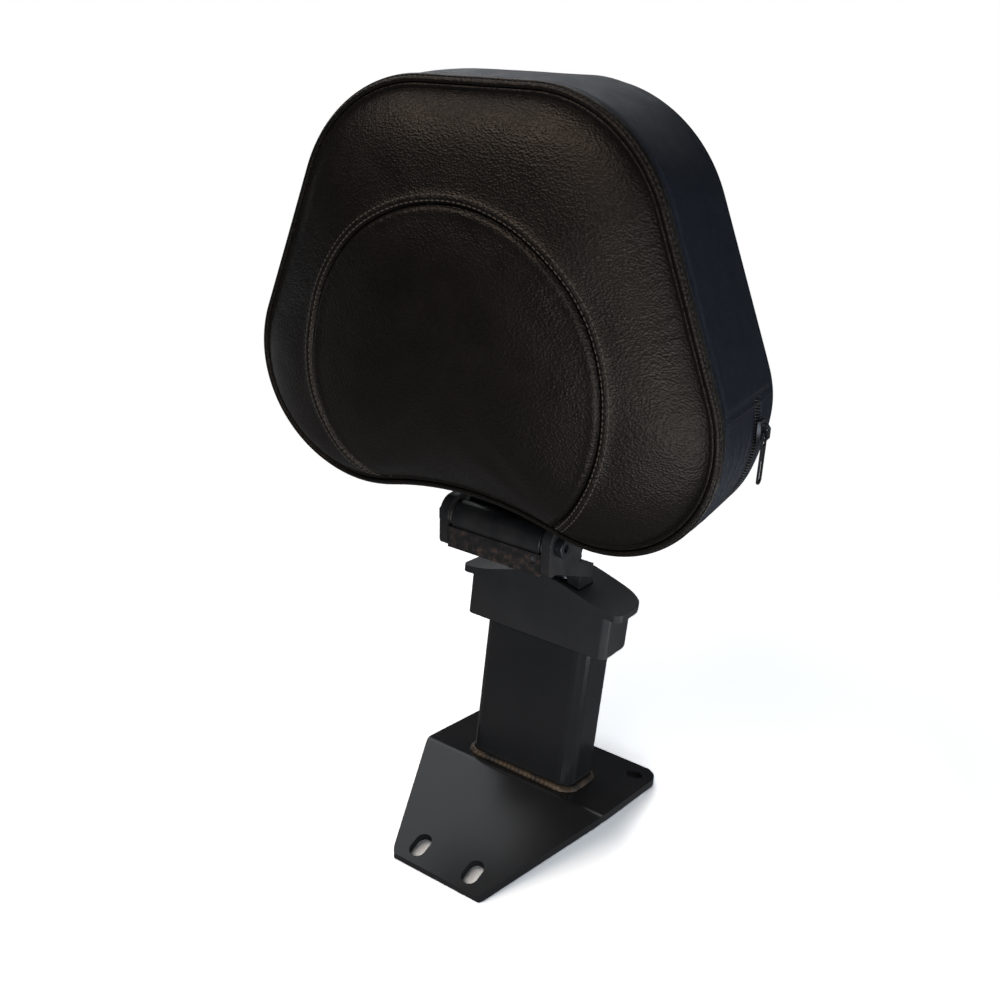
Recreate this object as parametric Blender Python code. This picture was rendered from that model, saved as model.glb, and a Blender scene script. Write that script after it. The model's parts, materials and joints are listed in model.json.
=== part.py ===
"""Motorcycle driver backrest: a padded rest on a hinge, carried by a post on a bent base plate.

Metres, +Z up. The rider sits on the -Y side, +X is the right-hand side seen from the front.
The origin lies on the floor below the bend line of the base plate, on the middle plane.
"""
import math

import bmesh
import bpy
from mathutils import Vector

# Clearance between pieces that touch
GAP = 0.0003

# Base plate, a strip bent once across the middle so that it stands like a low tent
BASE_THICK = 0.006
BASE_SLOPE = math.radians(13.6)
BASE_LEG = 0.090
BASE_BEND_RADIUS = 0.010
BASE_FRONT_HALF = 0.033
BASE_BEND_HALF = 0.0715
BASE_REAR_HALF = 0.0735
BASE_FRONT_ROUND = 0.011
BASE_SIDE_ROUND = 0.024
BASE_REAR_ROUND = 0.016
SLOT_WIDTH = 0.011
SLOT_LENGTH = 0.0175
SLOT_SPREAD = 0.0206
SLOT_FROM_EDGE = 0.0135
HOLE_DIAMETER = 0.012
HOLE_SPREAD = 0.060
HOLE_FROM_EDGE = 0.017

# Post, a rectangular tube that leans back
POST_WIDTH = 0.080
POST_DEPTH = 0.040
POST_WALL = 0.003
POST_ROUND = 0.0095
POST_LEAN = math.radians(7.6)
POST_BACK = 0.0246
POST_TOP = 0.154
POST_PLATE_THICK = 0.0047
WELD_LEG = 0.005

# Moulded cap over the post
CAP_HALF = 0.0602
CAP_FRONT = 0.0233
CAP_REAR = 0.0234
CAP_FRONT_ROUND = 0.005
CAP_REAR_ROUND = 0.025
CAP_RISE = 0.011
CAP_RISE_HALF = 0.057
CAP_FLANGE = 0.005
CAP_WALL = 0.0026
SKIRT_HALF = 0.053
SKIRT_DEPTH_HALF = 0.0229
SKIRT_FRONT_ROUND = 0.005
SKIRT_REAR_ROUND = 0.020
SKIRT_HEIGHT = 0.0281

# Hinge, measured from its pivot
PIVOT_Y = -0.022
PIVOT_Z = 0.222
PIN_DIAMETER = 0.008
PIN_CLEARANCE = 0.0006
EAR_OUTER = 0.039
EAR_THICK = 0.006
EAR_FRONT = 0.0108
EAR_DROP = 0.0175
EAR_TOP = 0.013
WEB_SLOPE = math.radians(24.6)
WEB_DROP = 0.0180
WEB_THICK = 0.006
WEB_FRONT = 0.003
WEB_REAR = 0.043
EAR_EDGE_DROP = 0.0006
EAR_FOOT_HEIGHT = 0.0080
EAR_LOBE_REAR = 0.0315
EAR_LOBE_DROP = 0.0080
EAR_LOBE_TOP = 0.0120
EAR_LOBE_RUN_OUT = 0.0063
TONGUE_HALF = 0.026
TONGUE_REAR = 0.070
NECK_DEPTH = 0.0177
NECK_SCREW_SPREAD = 0.014
SCREW_M8_HEAD = 0.013
SCREW_M8_HEAD_HEIGHT = 0.0045
SADDLE_TOP = 0.0035
SADDLE_REAR = 0.0033
SET_SCREW_DIAMETER = 0.004
SET_SCREW_FROM_MIDDLE = 0.0275
SET_SCREW_DROP = 0.0075
BARREL_DIAMETER = 0.020
BARREL_BORE = 0.0125
BUSH_FLANGE_DIAMETER = 0.018
BUSH_FLANGE_THICK = 0.0012
BUSH_LENGTH = 0.015
BOLT_HEAD_DIAMETER = 0.0125
BOLT_HEAD_HEIGHT = 0.0044
BOLT_SOCKET = 0.005
BOLT_SOCKET_DEPTH = 0.0026
NUT_ACROSS_FLATS = 0.0115
NUT_THICK = 0.0040
BOLT_END = 0.0006

# Pad, built upright and measured from the pivot, then leaned forward a little
PAD_LEAN = math.radians(1.36)
PAD_FRONT = 0.0331
PAD_DEPTH = 0.0598
PAD_CENTRE_Z = 0.1059
PAD_BOW_RADIUS = 1.272
PAD_TOP = 0.1440
PAD_SHOULDER_HALF = 0.0853
PAD_SHOULDER_ROUND = 0.080
PAD_SIDE_FLARE = 0.1012
PAD_HIP_HALF = PAD_SHOULDER_HALF + PAD_SIDE_FLARE
PAD_HIP_BOTTOM = 0.0981
PAD_HIP_ROUND = 0.0695
PAD_FOOT_RUN = 0.1273
PAD_ARCH_FOOT = PAD_HIP_HALF - PAD_FOOT_RUN
PAD_ARCH_FOOT_BOTTOM = 0.0798
PAD_ARCH_FOOT_ROUND = 0.073
PAD_ARCH_TOP = 0.0644
PAD_ARCH_ROUND = 0.2155
CROWN_HEIGHT = 0.0288
CROWN_POWER = 2.64
CROWN_FULLNESS = 0.624
COVER_THICK = 0.002
SEAM_BEYOND_SHOULDER = 0.0047
SEAM_RADIUS = PAD_SHOULDER_HALF + SEAM_BEYOND_SHOULDER
SEAM_DROP = 0.0015
SEAM_VALLEY = 0.0015
SEAM_VALLEY_WIDTH = 0.007
WELT_RADIUS = 0.0032
WELT_PROUD = 0.0008
WELT_BACK = 0.0010
CROSS_SEAM_Z = 0.112
ZIP_FROM_BACK = 0.0215
ZIP_FROM_FRONT = PAD_DEPTH - ZIP_FROM_BACK
ZIP_WIDTH = 0.006
ZIP_THICK = 0.0026
ZIP_CREST = 0.0009
FOAM_STEP_IN = 0.002
BOARD_THICK = 0.009
BOARD_INSET = 0.012

# Pad bracket, a bent plate from the barrel into the back of the pad
BRACKET_THICK = 0.003
BRACKET_HALF = 0.030
BRACKET_BEND_Z = 0.020
BRACKET_TOP_Z = 0.125
BRACKET_TOP_ROUND = 0.012
PAD_SCREW_DIAMETER = 0.005
PAD_SCREW_HEAD = 0.0095
PAD_SCREW_SPREAD = 0.019
PAD_SCREW_ROWS = (0.058, 0.108)
TEE_NUT_FLANGE = 0.017
TEE_NUT_FLANGE_THICK = 0.0013
TEE_NUT_BARREL = 0.007

# Zip slider and pull
SLIDER_ANGLE = math.radians(1.0)
SLIDER_LENGTH = 0.012
SLIDER_WIDTH = 0.0085
SLIDER_THICK = 0.0018
BRIDGE_HEIGHT = 0.0039
BRIDGE_WIDTH = 0.0022
PULL_LENGTH = 0.0275
PULL_WIDTH = 0.0055
PULL_THICK = 0.0010
PULL_WIRE = 0.0012

CIRCLE_STEPS = 24


def material(name, colour, roughness, metallic):
    """One Principled material."""
    made = bpy.data.materials.new(name)
    made.use_nodes = True
    shader = made.node_tree.nodes["Principled BSDF"]
    shader.inputs["Base Color"].default_value = (*colour, 1.0)
    shader.inputs["Roughness"].default_value = roughness
    shader.inputs["Metallic"].default_value = metallic
    made.diffuse_color = (*colour, 1.0)
    return made


def clear_scene():
    for item in list(bpy.data.objects):
        bpy.data.objects.remove(item, do_unlink=True)


def add_object(name, bm, finish, parent=None):
    """Turn a bmesh into a named object with outward faces."""
    bmesh.ops.recalc_face_normals(bm, faces=bm.faces[:])
    mesh = bpy.data.meshes.new(name)
    bm.to_mesh(mesh)
    bm.free()
    mesh.shade_smooth()
    mesh.set_sharp_from_angle(angle=math.radians(32.0))
    made = bpy.data.objects.new(name, mesh)
    bpy.context.scene.collection.objects.link(made)
    if finish is not None:
        mesh.materials.append(finish)
    if parent is not None:
        made.parent = parent
    return made


def add_empty(name, location, parent=None, rotation_x=0.0):
    made = bpy.data.objects.new(name, None)
    bpy.context.scene.collection.objects.link(made)
    made.location = location
    made.rotation_euler = (rotation_x, 0.0, 0.0)
    made.empty_display_size = 0.02
    if parent is not None:
        made.parent = parent
    return made


def cut(piece, tool, operation="DIFFERENCE"):
    """Boolean a hidden tool out of a piece, or into it."""
    step = piece.modifiers.new(tool.name, "BOOLEAN")
    step.operation = operation
    step.solver = "EXACT"
    step.object = tool
    tool.hide_render = True
    tool.display_type = "WIRE"


def fillet_outline(corners, arc_step=math.radians(9.0)):
    """Closed outline from (u, v, radius) corners, each rounded with an arc."""
    points = []
    count = len(corners)
    for index, (u, v, radius) in enumerate(corners):
        here = Vector((u, v))
        before = Vector(corners[index - 1][:2])
        after = Vector(corners[(index + 1) % count][:2])
        back = (before - here).normalized()
        ahead = (after - here).normalized()
        if radius <= 0.0:
            points.append(here)
            continue
        opening = back.angle(ahead)
        reach = radius / math.tan(opening / 2.0)
        start = here + back * reach
        centre = here + (back + ahead).normalized() * (radius / math.sin(opening / 2.0))
        sweep = math.pi - opening
        steps = max(2, math.ceil(sweep / arc_step))
        spoke = start - centre
        side = 1.0 if back.cross(ahead) < 0.0 else -1.0
        for step in range(steps + 1):
            turn = side * sweep * step / steps
            cos_turn, sin_turn = math.cos(turn), math.sin(turn)
            points.append(centre + Vector((spoke.x * cos_turn - spoke.y * sin_turn,
                                           spoke.x * sin_turn + spoke.y * cos_turn)))
    return points


def mirrored(corners):
    """Corners given for +u, bottom to top, completed on the -u side."""
    return corners + [(-u, v, radius) for u, v, radius in reversed(corners) if u > 0.0]


def circle(radius, centre=(0.0, 0.0), steps=CIRCLE_STEPS, start=0.0):
    return [Vector((centre[0] + radius * math.cos(start + 2.0 * math.pi * step / steps),
                    centre[1] + radius * math.sin(start + 2.0 * math.pi * step / steps)))
            for step in range(steps)]


def stadium(width, length, centre):
    """Slot outline, long along v."""
    half = (length - width) / 2.0
    steps = CIRCLE_STEPS // 2
    points = []
    for end, start in ((1.0, 0.0), (-1.0, math.pi)):
        for step in range(steps + 1):
            angle = start + math.pi * step / steps
            points.append(Vector((centre[0] + width / 2.0 * math.cos(angle),
                                  centre[1] + end * half + width / 2.0 * math.sin(angle))))
    return points


def skin(name, rings, finish, parent=None, looped=False):
    """Closed skin through rings of points. A ring of one point closes an end; looped joins last to first."""
    bm = bmesh.new()
    made = [[bm.verts.new(point) for point in ring] for ring in rings]
    pairs = list(zip(made, made[1:]))
    if looped:
        pairs.append((made[-1], made[0]))
    for low, high in pairs:
        size = max(len(low), len(high))
        for index in range(size):
            after = (index + 1) % size
            if len(low) == 1:
                bm.faces.new((low[0], high[index], high[after]))
            elif len(high) == 1:
                bm.faces.new((low[index], low[after], high[0]))
            else:
                bm.faces.new((low[index], low[after], high[after], high[index]))
    if not looped:
        for ring in (made[0], made[-1]):
            if len(ring) > 1:
                bm.faces.new(ring)
    return add_object(name, bm, finish, parent)


def prism(name, outline, low, high, place, finish, parent=None):
    """Outline carried from low to high, put in the world by place(u, v, w)."""
    rings = [[place(point.x, point.y, level) for point in outline] for level in (low, high)]
    return skin(name, rings, finish, parent)


def turned(name, profile, place, finish, parent=None, steps=CIRCLE_STEPS, looped=True):
    """Turned piece from a closed (along, radius) profile about an axis through place(0, 0, along)."""
    rings = []
    for along, radius in profile:
        if radius == 0.0:
            rings.append([place(0.0, 0.0, along)])
        else:
            rings.append([place(point.x, point.y, along) for point in circle(radius, steps=steps)])
    return skin(name, rings, finish, parent, looped=looped)


def place_plan(u, v, w):
    return Vector((u, v, w))


def place_side(u, v, w):
    """Side outline (y, z) carried along X."""
    return Vector((w, u, v))


def place_hinge(u, v, w):
    """Side outline measured from the pivot, carried along X."""
    return Vector((w, PIVOT_Y + u, PIVOT_Z + v))


def post_point(u, v, w):
    """Point in the post's frame: across, back, along the leaning axis."""
    cos_lean, sin_lean = math.cos(POST_LEAN), math.sin(POST_LEAN)
    return Vector((u, POST_BACK + v * cos_lean + w * sin_lean, w * cos_lean - v * sin_lean))


def place_arch(u, v, w):
    """Front outline (across, along) carried backwards in the post's frame."""
    return post_point(u, w, v)


BEND_HEIGHT = BASE_LEG * math.sin(BASE_SLOPE) + BASE_THICK * math.cos(BASE_SLOPE)
PLATE_TOP = POST_TOP + GAP + POST_PLATE_THICK


def base_point(side, along, above):
    """Point on a leg of the base plate: side -1 front, +1 rear, along from the bend, above its top face."""
    return Vector((0.0,
                   side * (along * math.cos(BASE_SLOPE) + above * math.sin(BASE_SLOPE)),
                   BEND_HEIGHT - along * math.sin(BASE_SLOPE) + above * math.cos(BASE_SLOPE)))


def leg_place(side):
    def place(u, v, w):
        return base_point(side, v, w) + Vector((u, 0.0, 0.0))
    return place


def base_section():
    """Side outline of the bent plate, with the bend as arcs."""
    def bend_arc(radius):
        centre_z = BEND_HEIGHT - BASE_BEND_RADIUS / math.cos(BASE_SLOPE)
        steps = 6
        return [Vector((radius * math.sin(angle), centre_z + radius * math.cos(angle)))
                for angle in (BASE_SLOPE * (2.0 * step / steps - 1.0) for step in range(steps + 1))]

    top = [base_point(-1.0, BASE_LEG, 0.0).yz, *bend_arc(BASE_BEND_RADIUS), base_point(1.0, BASE_LEG, 0.0).yz]
    low = [base_point(1.0, BASE_LEG, -BASE_THICK).yz, *reversed(bend_arc(BASE_BEND_RADIUS - BASE_THICK)),
           base_point(-1.0, BASE_LEG, -BASE_THICK).yz]
    return top + low


def build_base_plate(finish):
    reach = BASE_BEND_HALF + BASE_REAR_HALF
    plate = prism("base_plate", base_section(), -reach, reach, place_side, finish)
    run = BASE_LEG * math.cos(BASE_SLOPE)
    plan = mirrored([
        (BASE_FRONT_HALF, -run - BASE_THICK * math.sin(BASE_SLOPE), BASE_FRONT_ROUND),
        (BASE_BEND_HALF, 0.0, BASE_SIDE_ROUND),
        (BASE_REAR_HALF, run + BASE_THICK * math.sin(BASE_SLOPE), BASE_REAR_ROUND)])
    outline = prism("base_outline_tool", fillet_outline(plan), -BASE_THICK, BEND_HEIGHT + BASE_THICK,
                    place_plan, None)
    cut(plate, outline, "INTERSECT")
    for side in (-1.0, 1.0):
        slot_centre = (side * SLOT_SPREAD, BASE_LEG - SLOT_FROM_EDGE)
        slot = prism("slot_tool", stadium(SLOT_WIDTH, SLOT_LENGTH, slot_centre), -2.0 * BASE_THICK,
                     BASE_THICK, leg_place(-1.0), None)
        cut(plate, slot)
        hole_centre = (side * HOLE_SPREAD, BASE_LEG - HOLE_FROM_EDGE)
        hole = prism("hole_tool", circle(HOLE_DIAMETER / 2.0, hole_centre), -2.0 * BASE_THICK, BASE_THICK,
                     leg_place(1.0), None)
        cut(plate, hole)
    return plate


def post_outline(grow):
    """Outline of the post in its own frame, grown or shrunk all round."""
    half, depth, radius = POST_WIDTH / 2.0 + grow, POST_DEPTH / 2.0 + grow, POST_ROUND + grow
    return fillet_outline([(half, -depth, radius), (half, depth, radius),
                           (-half, depth, radius), (-half, -depth, radius)], math.radians(18.0))


def along_above_leg(u, v, height):
    """Distance along the post's axis at which a line of the post lies a height above the rear leg."""
    normal = Vector((0.0, math.sin(BASE_SLOPE), math.cos(BASE_SLOPE)))
    start = post_point(u, v, 0.0)
    axis = post_point(u, v, 1.0) - start
    level = base_point(1.0, 0.0, height)
    return (level - start).dot(normal) / axis.dot(normal)


def foot_ring(grow, height):
    return [post_point(p.x, p.y, along_above_leg(p.x, p.y, height)) for p in post_outline(grow)]


def build_post(finish, weld_finish):
    top_outer = [post_point(p.x, p.y, POST_TOP) for p in post_outline(0.0)]
    top_inner = [post_point(p.x, p.y, POST_TOP) for p in post_outline(-POST_WALL)]
    skin("post_tube", [foot_ring(0.0, GAP), top_outer, top_inner, foot_ring(-POST_WALL, GAP)], finish,
         looped=True)
    leg = WELD_LEG
    skin("weld_bead", [foot_ring(GAP, GAP), foot_ring(leg, GAP), foot_ring(0.93 * leg, 0.33 * leg),
                       foot_ring(0.50 * leg, 0.72 * leg), foot_ring(GAP, leg)], weld_finish, looped=True)
    prism("post_top_plate", post_outline(0.0), POST_TOP + GAP, PLATE_TOP, post_point, finish)


def cap_arch(drop):
    """Height of the cap's top along the post at each x, lowered by drop."""
    wing = PLATE_TOP + GAP + CAP_WALL + 0.0001 - CAP_RISE * arch_share(POST_WIDTH / 2.0)
    return lambda x: wing + CAP_RISE * arch_share(x) - drop


def arch_share(x):
    if abs(x) >= CAP_RISE_HALF:
        return 0.0
    return math.cos(math.pi * x / (2.0 * CAP_RISE_HALF)) ** 2


def arch_band(drop_top, bottom, half, steps=22):
    """Front outline below the arched top: bottom is a height, or a second drop below the arch."""
    xs = [half * (2.0 * step / steps - 1.0) for step in range(steps + 1)]
    top = [Vector((x, cap_arch(drop_top)(x))) for x in xs]
    if bottom is None:
        low = [Vector((x, cap_arch(CAP_FLANGE)(x))) for x in reversed(xs)]
    else:
        low = [Vector((half, bottom)), Vector((-half, bottom))]
    return top + low


def cap_outline(half, front, rear, front_round, rear_round):
    return fillet_outline([(half, -front, front_round), (half, rear, rear_round),
                           (-half, rear, rear_round), (-half, -front, front_round)], math.radians(12.0))


def build_cap(finish):
    wide = 2.0 * CAP_REAR
    wing = cap_arch(0.0)(CAP_HALF)
    skirt_foot = wing - CAP_FLANGE - SKIRT_HEIGHT
    cap = prism("post_cap", arch_band(0.0, None, 1.1 * CAP_HALF), -wide, wide, place_arch, finish)
    flange = prism("flange_tool", cap_outline(CAP_HALF, CAP_FRONT, CAP_REAR, CAP_FRONT_ROUND, CAP_REAR_ROUND),
                   skirt_foot, PLATE_TOP + 2.0 * CAP_RISE, post_point, None)
    cut(cap, flange, "INTERSECT")
    skirt_outline = cap_outline(SKIRT_HALF, SKIRT_DEPTH_HALF, SKIRT_DEPTH_HALF, SKIRT_FRONT_ROUND,
                                SKIRT_REAR_ROUND)
    skirt = prism("skirt_tool", skirt_outline, skirt_foot, PLATE_TOP + 2.0 * CAP_RISE, post_point, None)
    under = prism("skirt_top_tool", arch_band(CAP_FLANGE / 2.0, skirt_foot - CAP_FLANGE, 1.1 * CAP_HALF),
                  -wide, wide, place_arch, None)
    cut(skirt, under, "INTERSECT")
    cut(cap, skirt, "UNION")
    hollow_outline = cap_outline(SKIRT_HALF - CAP_WALL, SKIRT_DEPTH_HALF - CAP_WALL,
                                 SKIRT_DEPTH_HALF - CAP_WALL, SKIRT_FRONT_ROUND - CAP_WALL,
                                 SKIRT_REAR_ROUND - CAP_WALL)
    hollow = prism("hollow_tool", hollow_outline, skirt_foot - CAP_FLANGE, PLATE_TOP + 2.0 * CAP_RISE,
                   post_point, None)
    ceiling = prism("ceiling_tool", arch_band(CAP_WALL, skirt_foot - 2.0 * CAP_FLANGE, 1.1 * CAP_HALF),
                    -wide, wide, place_arch, None)
    cut(hollow, ceiling, "INTERSECT")
    cut(cap, hollow)
    neck_front, neck_rear = neck_span()
    lower_front = to_post_back(neck_front, web_under(neck_front))
    upper_rear = to_post_back(neck_rear, web_under(neck_rear))
    window_half = TONGUE_HALF + 3.0 * GAP
    window_front = lower_front - 4.0 * GAP
    window_rear = upper_rear + 8.0 * GAP
    window = fillet_outline([(window_half, window_front, 0.002), (window_half, window_rear, 0.002),
                             (-window_half, window_rear, 0.002), (-window_half, window_front, 0.002)])
    cut(cap, prism("window_tool", window, PLATE_TOP, PLATE_TOP + 3.0 * CAP_RISE, post_point, None))
    return cap


def to_post_back(y, z):
    """How far behind the post's axis a world point lies."""
    return (y - POST_BACK) * math.cos(POST_LEAN) - z * math.sin(POST_LEAN)


def to_post_along(y, z):
    """How far up the post's axis a world point lies."""
    return (y - POST_BACK) * math.sin(POST_LEAN) + z * math.cos(POST_LEAN)


def web_under(y):
    """Height of the web's underside at a world y."""
    return PIVOT_Z - WEB_DROP - (y - PIVOT_Y) * math.tan(WEB_SLOPE)


def neck_span():
    rear = PIVOT_Y + TONGUE_REAR
    return rear - NECK_DEPTH, rear


def web_place(side_sign):
    """Frame on top of the web: across, down the slope from the pivot, out of the plate."""
    def place(u, v, w):
        y = PIVOT_Y + v * math.cos(WEB_SLOPE) + w * math.sin(WEB_SLOPE) * side_sign
        rise = w * math.cos(WEB_SLOPE) * side_sign
        drop = WEB_DROP - WEB_THICK / math.cos(WEB_SLOPE) + v * math.sin(WEB_SLOPE)
        return Vector((u, y, PIVOT_Z - drop + rise))
    return place


def build_web_and_neck(finish):
    slope = math.tan(WEB_SLOPE)
    rise = WEB_THICK / math.cos(WEB_SLOPE)
    section = [Vector((-WEB_FRONT, -WEB_DROP + WEB_FRONT * slope)),
               Vector((TONGUE_REAR, -WEB_DROP - TONGUE_REAR * slope)),
               Vector((TONGUE_REAR, -WEB_DROP - TONGUE_REAR * slope + rise)),
               Vector((-WEB_FRONT, -WEB_DROP + WEB_FRONT * slope + rise))]
    half = EAR_OUTER - EAR_THICK - GAP
    web = prism("hinge_web", section, -half, half, place_hinge, finish)
    for side in (-1.0, 1.0):
        near, far = PIVOT_Y + WEB_REAR, PIVOT_Y + 1.2 * TONGUE_REAR
        corner = [Vector((side * TONGUE_HALF, near)), Vector((side * 2.0 * half, near)),
                  Vector((side * 2.0 * half, far)), Vector((side * TONGUE_HALF, far))]
        cut(web, prism("tongue_tool", corner, 0.5 * PIVOT_Z, PIVOT_Z, place_plan, None))
    front, rear = neck_span()
    floor = PLATE_TOP + GAP

    def foot(y):
        return (floor - (y - POST_BACK) * math.sin(POST_LEAN)) / math.cos(POST_LEAN)

    neck_section = [Vector((front, foot(front))), Vector((rear, foot(rear))),
                    Vector((rear, web_under(rear) - GAP)), Vector((front, web_under(front) - GAP))]
    neck = prism("neck_block", neck_section, -TONGUE_HALF, TONGUE_HALF, place_side, finish)
    down_slope = (0.5 * (front + rear) - PIVOT_Y) / math.cos(WEB_SLOPE)
    place = web_place(1.0)
    for side, label in ((-1.0, "left"), (1.0, "right")):
        centre = (side * NECK_SCREW_SPREAD, down_slope)
        hole = prism("neck_hole_tool", circle(PIN_DIAMETER / 2.0 + GAP, centre), -0.016, WEB_THICK, place,
                     None)
        cut(web, hole)
        cut(neck, hole)
        make_socket_screw("neck_screw_" + label, centre, place)
    return web


def make_socket_screw(name, centre, place):
    """Screw with a low round head on top of the web and its shank in the neck."""
    def at(u, v, w):
        return place(centre[0] + u, centre[1] + v, w)

    head, shank = SCREW_M8_HEAD / 2.0, PIN_DIAMETER / 2.0
    socket = BOLT_SOCKET / math.sqrt(3.0)
    rings = [[at(p.x, p.y, level) for p in circle(radius, steps=CIRCLE_STEPS)]
             for level, radius in ((-0.014, shank), (GAP, shank), (GAP, head),
                                   (GAP + 0.6 * SCREW_M8_HEAD_HEIGHT, head),
                                   (GAP + SCREW_M8_HEAD_HEIGHT, 0.80 * head))]
    screw = skin(name, rings, FINISH["zinc"])
    tool = prism(name + "_socket_tool", circle(socket, centre, 6), 0.5 * SCREW_M8_HEAD_HEIGHT,
                 2.0 * SCREW_M8_HEAD_HEIGHT, place, None)
    cut(screw, tool)
    return screw


def ear_outline():
    """Ear seen from the side, measured from the pivot."""
    slope = math.tan(WEB_SLOPE)

    def edge(y):
        return -WEB_DROP - EAR_EDGE_DROP - y * slope

    foot_top = edge(WEB_REAR) + EAR_FOOT_HEIGHT
    run_out = EAR_LOBE_REAR - EAR_LOBE_RUN_OUT
    corners = [(-EAR_FRONT, -EAR_DROP, 0.0045),
               (-EAR_FRONT + 0.0075, -EAR_DROP, 0.002),
               (-0.0015, edge(-0.0015), 0.004),
               (WEB_REAR + 0.001, edge(WEB_REAR + 0.001), 0.0012),
               (WEB_REAR - 0.002, foot_top, 0.003),
               (run_out, edge(run_out) + 1.22 * EAR_FOOT_HEIGHT, 0.002),
               (EAR_LOBE_REAR, -EAR_LOBE_DROP, 0.009),
               (EAR_LOBE_TOP, EAR_TOP, 0.009),
               (-EAR_FRONT, EAR_TOP, 0.010)]
    return fillet_outline(corners)


def build_ears(finish):
    inner = EAR_OUTER - EAR_THICK
    hole_radius = PIN_DIAMETER / 2.0 + PIN_CLEARANCE / 2.0
    tool = prism("pivot_hole_tool", circle(hole_radius), -2.0 * EAR_OUTER, 2.0 * EAR_OUTER, place_hinge, None)
    for low, high, name in ((-EAR_OUTER, -inner, "left_ear"), (inner, EAR_OUTER, "right_ear")):
        ear = prism(name, ear_outline(), low, high, place_hinge, finish)
        cut(ear, tool)


def build_saddle(finish, screw_finish):
    """Bar between the ears with a round seat for the barrel, and the set screw in its front."""
    seat = BARREL_DIAMETER / 2.0 + GAP
    half = EAR_OUTER - EAR_THICK - GAP
    first = math.atan2(-math.sqrt(seat ** 2 - SADDLE_REAR ** 2), -SADDLE_REAR)
    last = math.atan2(-SADDLE_TOP, -math.sqrt(seat ** 2 - SADDLE_TOP ** 2))
    steps = 10
    arc = [Vector((seat * math.cos(first + (last - first) * step / steps),
                   seat * math.sin(first + (last - first) * step / steps))) for step in range(steps + 1)]
    section = [Vector((-SADDLE_REAR, -EAR_DROP + GAP)), *arc, Vector((-EAR_FRONT, -SADDLE_TOP)),
               Vector((-EAR_FRONT, -EAR_DROP + GAP))]
    block = prism("saddle_block", section, -half, half, place_hinge, finish)

    def place_front(u, v, w):
        return Vector((SET_SCREW_FROM_MIDDLE + u, PIVOT_Y - EAR_FRONT + w, PIVOT_Z - SET_SCREW_DROP + v))

    radius = SET_SCREW_DIAMETER / 2.0
    deep = EAR_FRONT - math.sqrt(seat ** 2 - (SET_SCREW_DROP - radius) ** 2)
    tool = prism("set_screw_hole_tool", circle(radius + GAP), -2.0 * radius, 2.0 * radius, place_front, None)
    cut(block, tool)
    socket = prism("set_screw_socket_tool", circle(0.55 * radius, steps=6), -radius, 0.6 * deep, place_front,
                   None)
    screw = prism("set_screw", circle(radius, steps=16), 0.25 * deep, deep - GAP, place_front, screw_finish)
    cut(screw, socket)


def build_pivot(finish, bush_finish):
    """Bolt through both ears with its nut, and the flanged bushes that the barrel turns on."""
    pin = PIN_DIAMETER / 2.0
    head = BOLT_HEAD_DIAMETER / 2.0
    face = EAR_OUTER + GAP
    chamfer = 0.0006
    far = -(face + NUT_THICK + BOLT_END)
    profile = [(far, 0.0), (far, pin - chamfer), (far + chamfer, pin), (face, pin), (face, head),
               (face + BOLT_HEAD_HEIGHT - chamfer, head), (face + BOLT_HEAD_HEIGHT, head - chamfer),
               (face + BOLT_HEAD_HEIGHT, 0.0)]
    bolt = turned("pivot_bolt", profile, place_hinge, finish, looped=False)
    socket_floor = face + BOLT_HEAD_HEIGHT - BOLT_SOCKET_DEPTH
    cut(bolt, prism("bolt_socket_tool", circle(BOLT_SOCKET / math.sqrt(3.0), steps=6), socket_floor,
                    face + 2.0 * BOLT_HEAD_HEIGHT, place_hinge, None))
    nut = prism("pivot_nut", circle(NUT_ACROSS_FLATS / math.sqrt(3.0), steps=6, start=math.pi / 6.0),
                -face - NUT_THICK, -face, place_hinge, finish)
    cut(nut, prism("nut_bore_tool", circle(pin + GAP), -face - 2.0 * NUT_THICK, 0.0, place_hinge, None))
    inner = EAR_OUTER - EAR_THICK
    bore = pin + PIN_CLEARANCE / 2.0
    sleeve = BARREL_BORE / 2.0 - GAP
    flange = BUSH_FLANGE_DIAMETER / 2.0
    for side, label in ((-1.0, "left"), (1.0, "right")):
        outer = side * (inner - GAP)
        step = side * (inner - GAP - BUSH_FLANGE_THICK)
        end = side * (inner - GAP - BUSH_FLANGE_THICK - BUSH_LENGTH)
        turned("bush_" + label, [(outer, bore), (outer, flange), (step, flange), (step, sleeve),
                                 (end, sleeve), (end, bore)], place_hinge, bush_finish)


def local_side(u, v, w):
    """Side outline (y, z) from the pivot carried along X, in the pad's own frame."""
    return Vector((w, u, v))


def local_front(u, v, w):
    """Front outline (x, z) carried backwards, in the pad's own frame."""
    return Vector((u, w, v))


def bow(x):
    """How far the front edge curves forward at x."""
    return x * x / (2.0 * PAD_BOW_RADIUS)


def depth_y(x, depth):
    """Where a layer lies: depth behind the front edge. The bow fades out towards the flat back."""
    share = min(1.0, max(0.0, depth / PAD_DEPTH))
    return -PAD_FRONT + depth - bow(x) * (1.0 - share)


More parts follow.
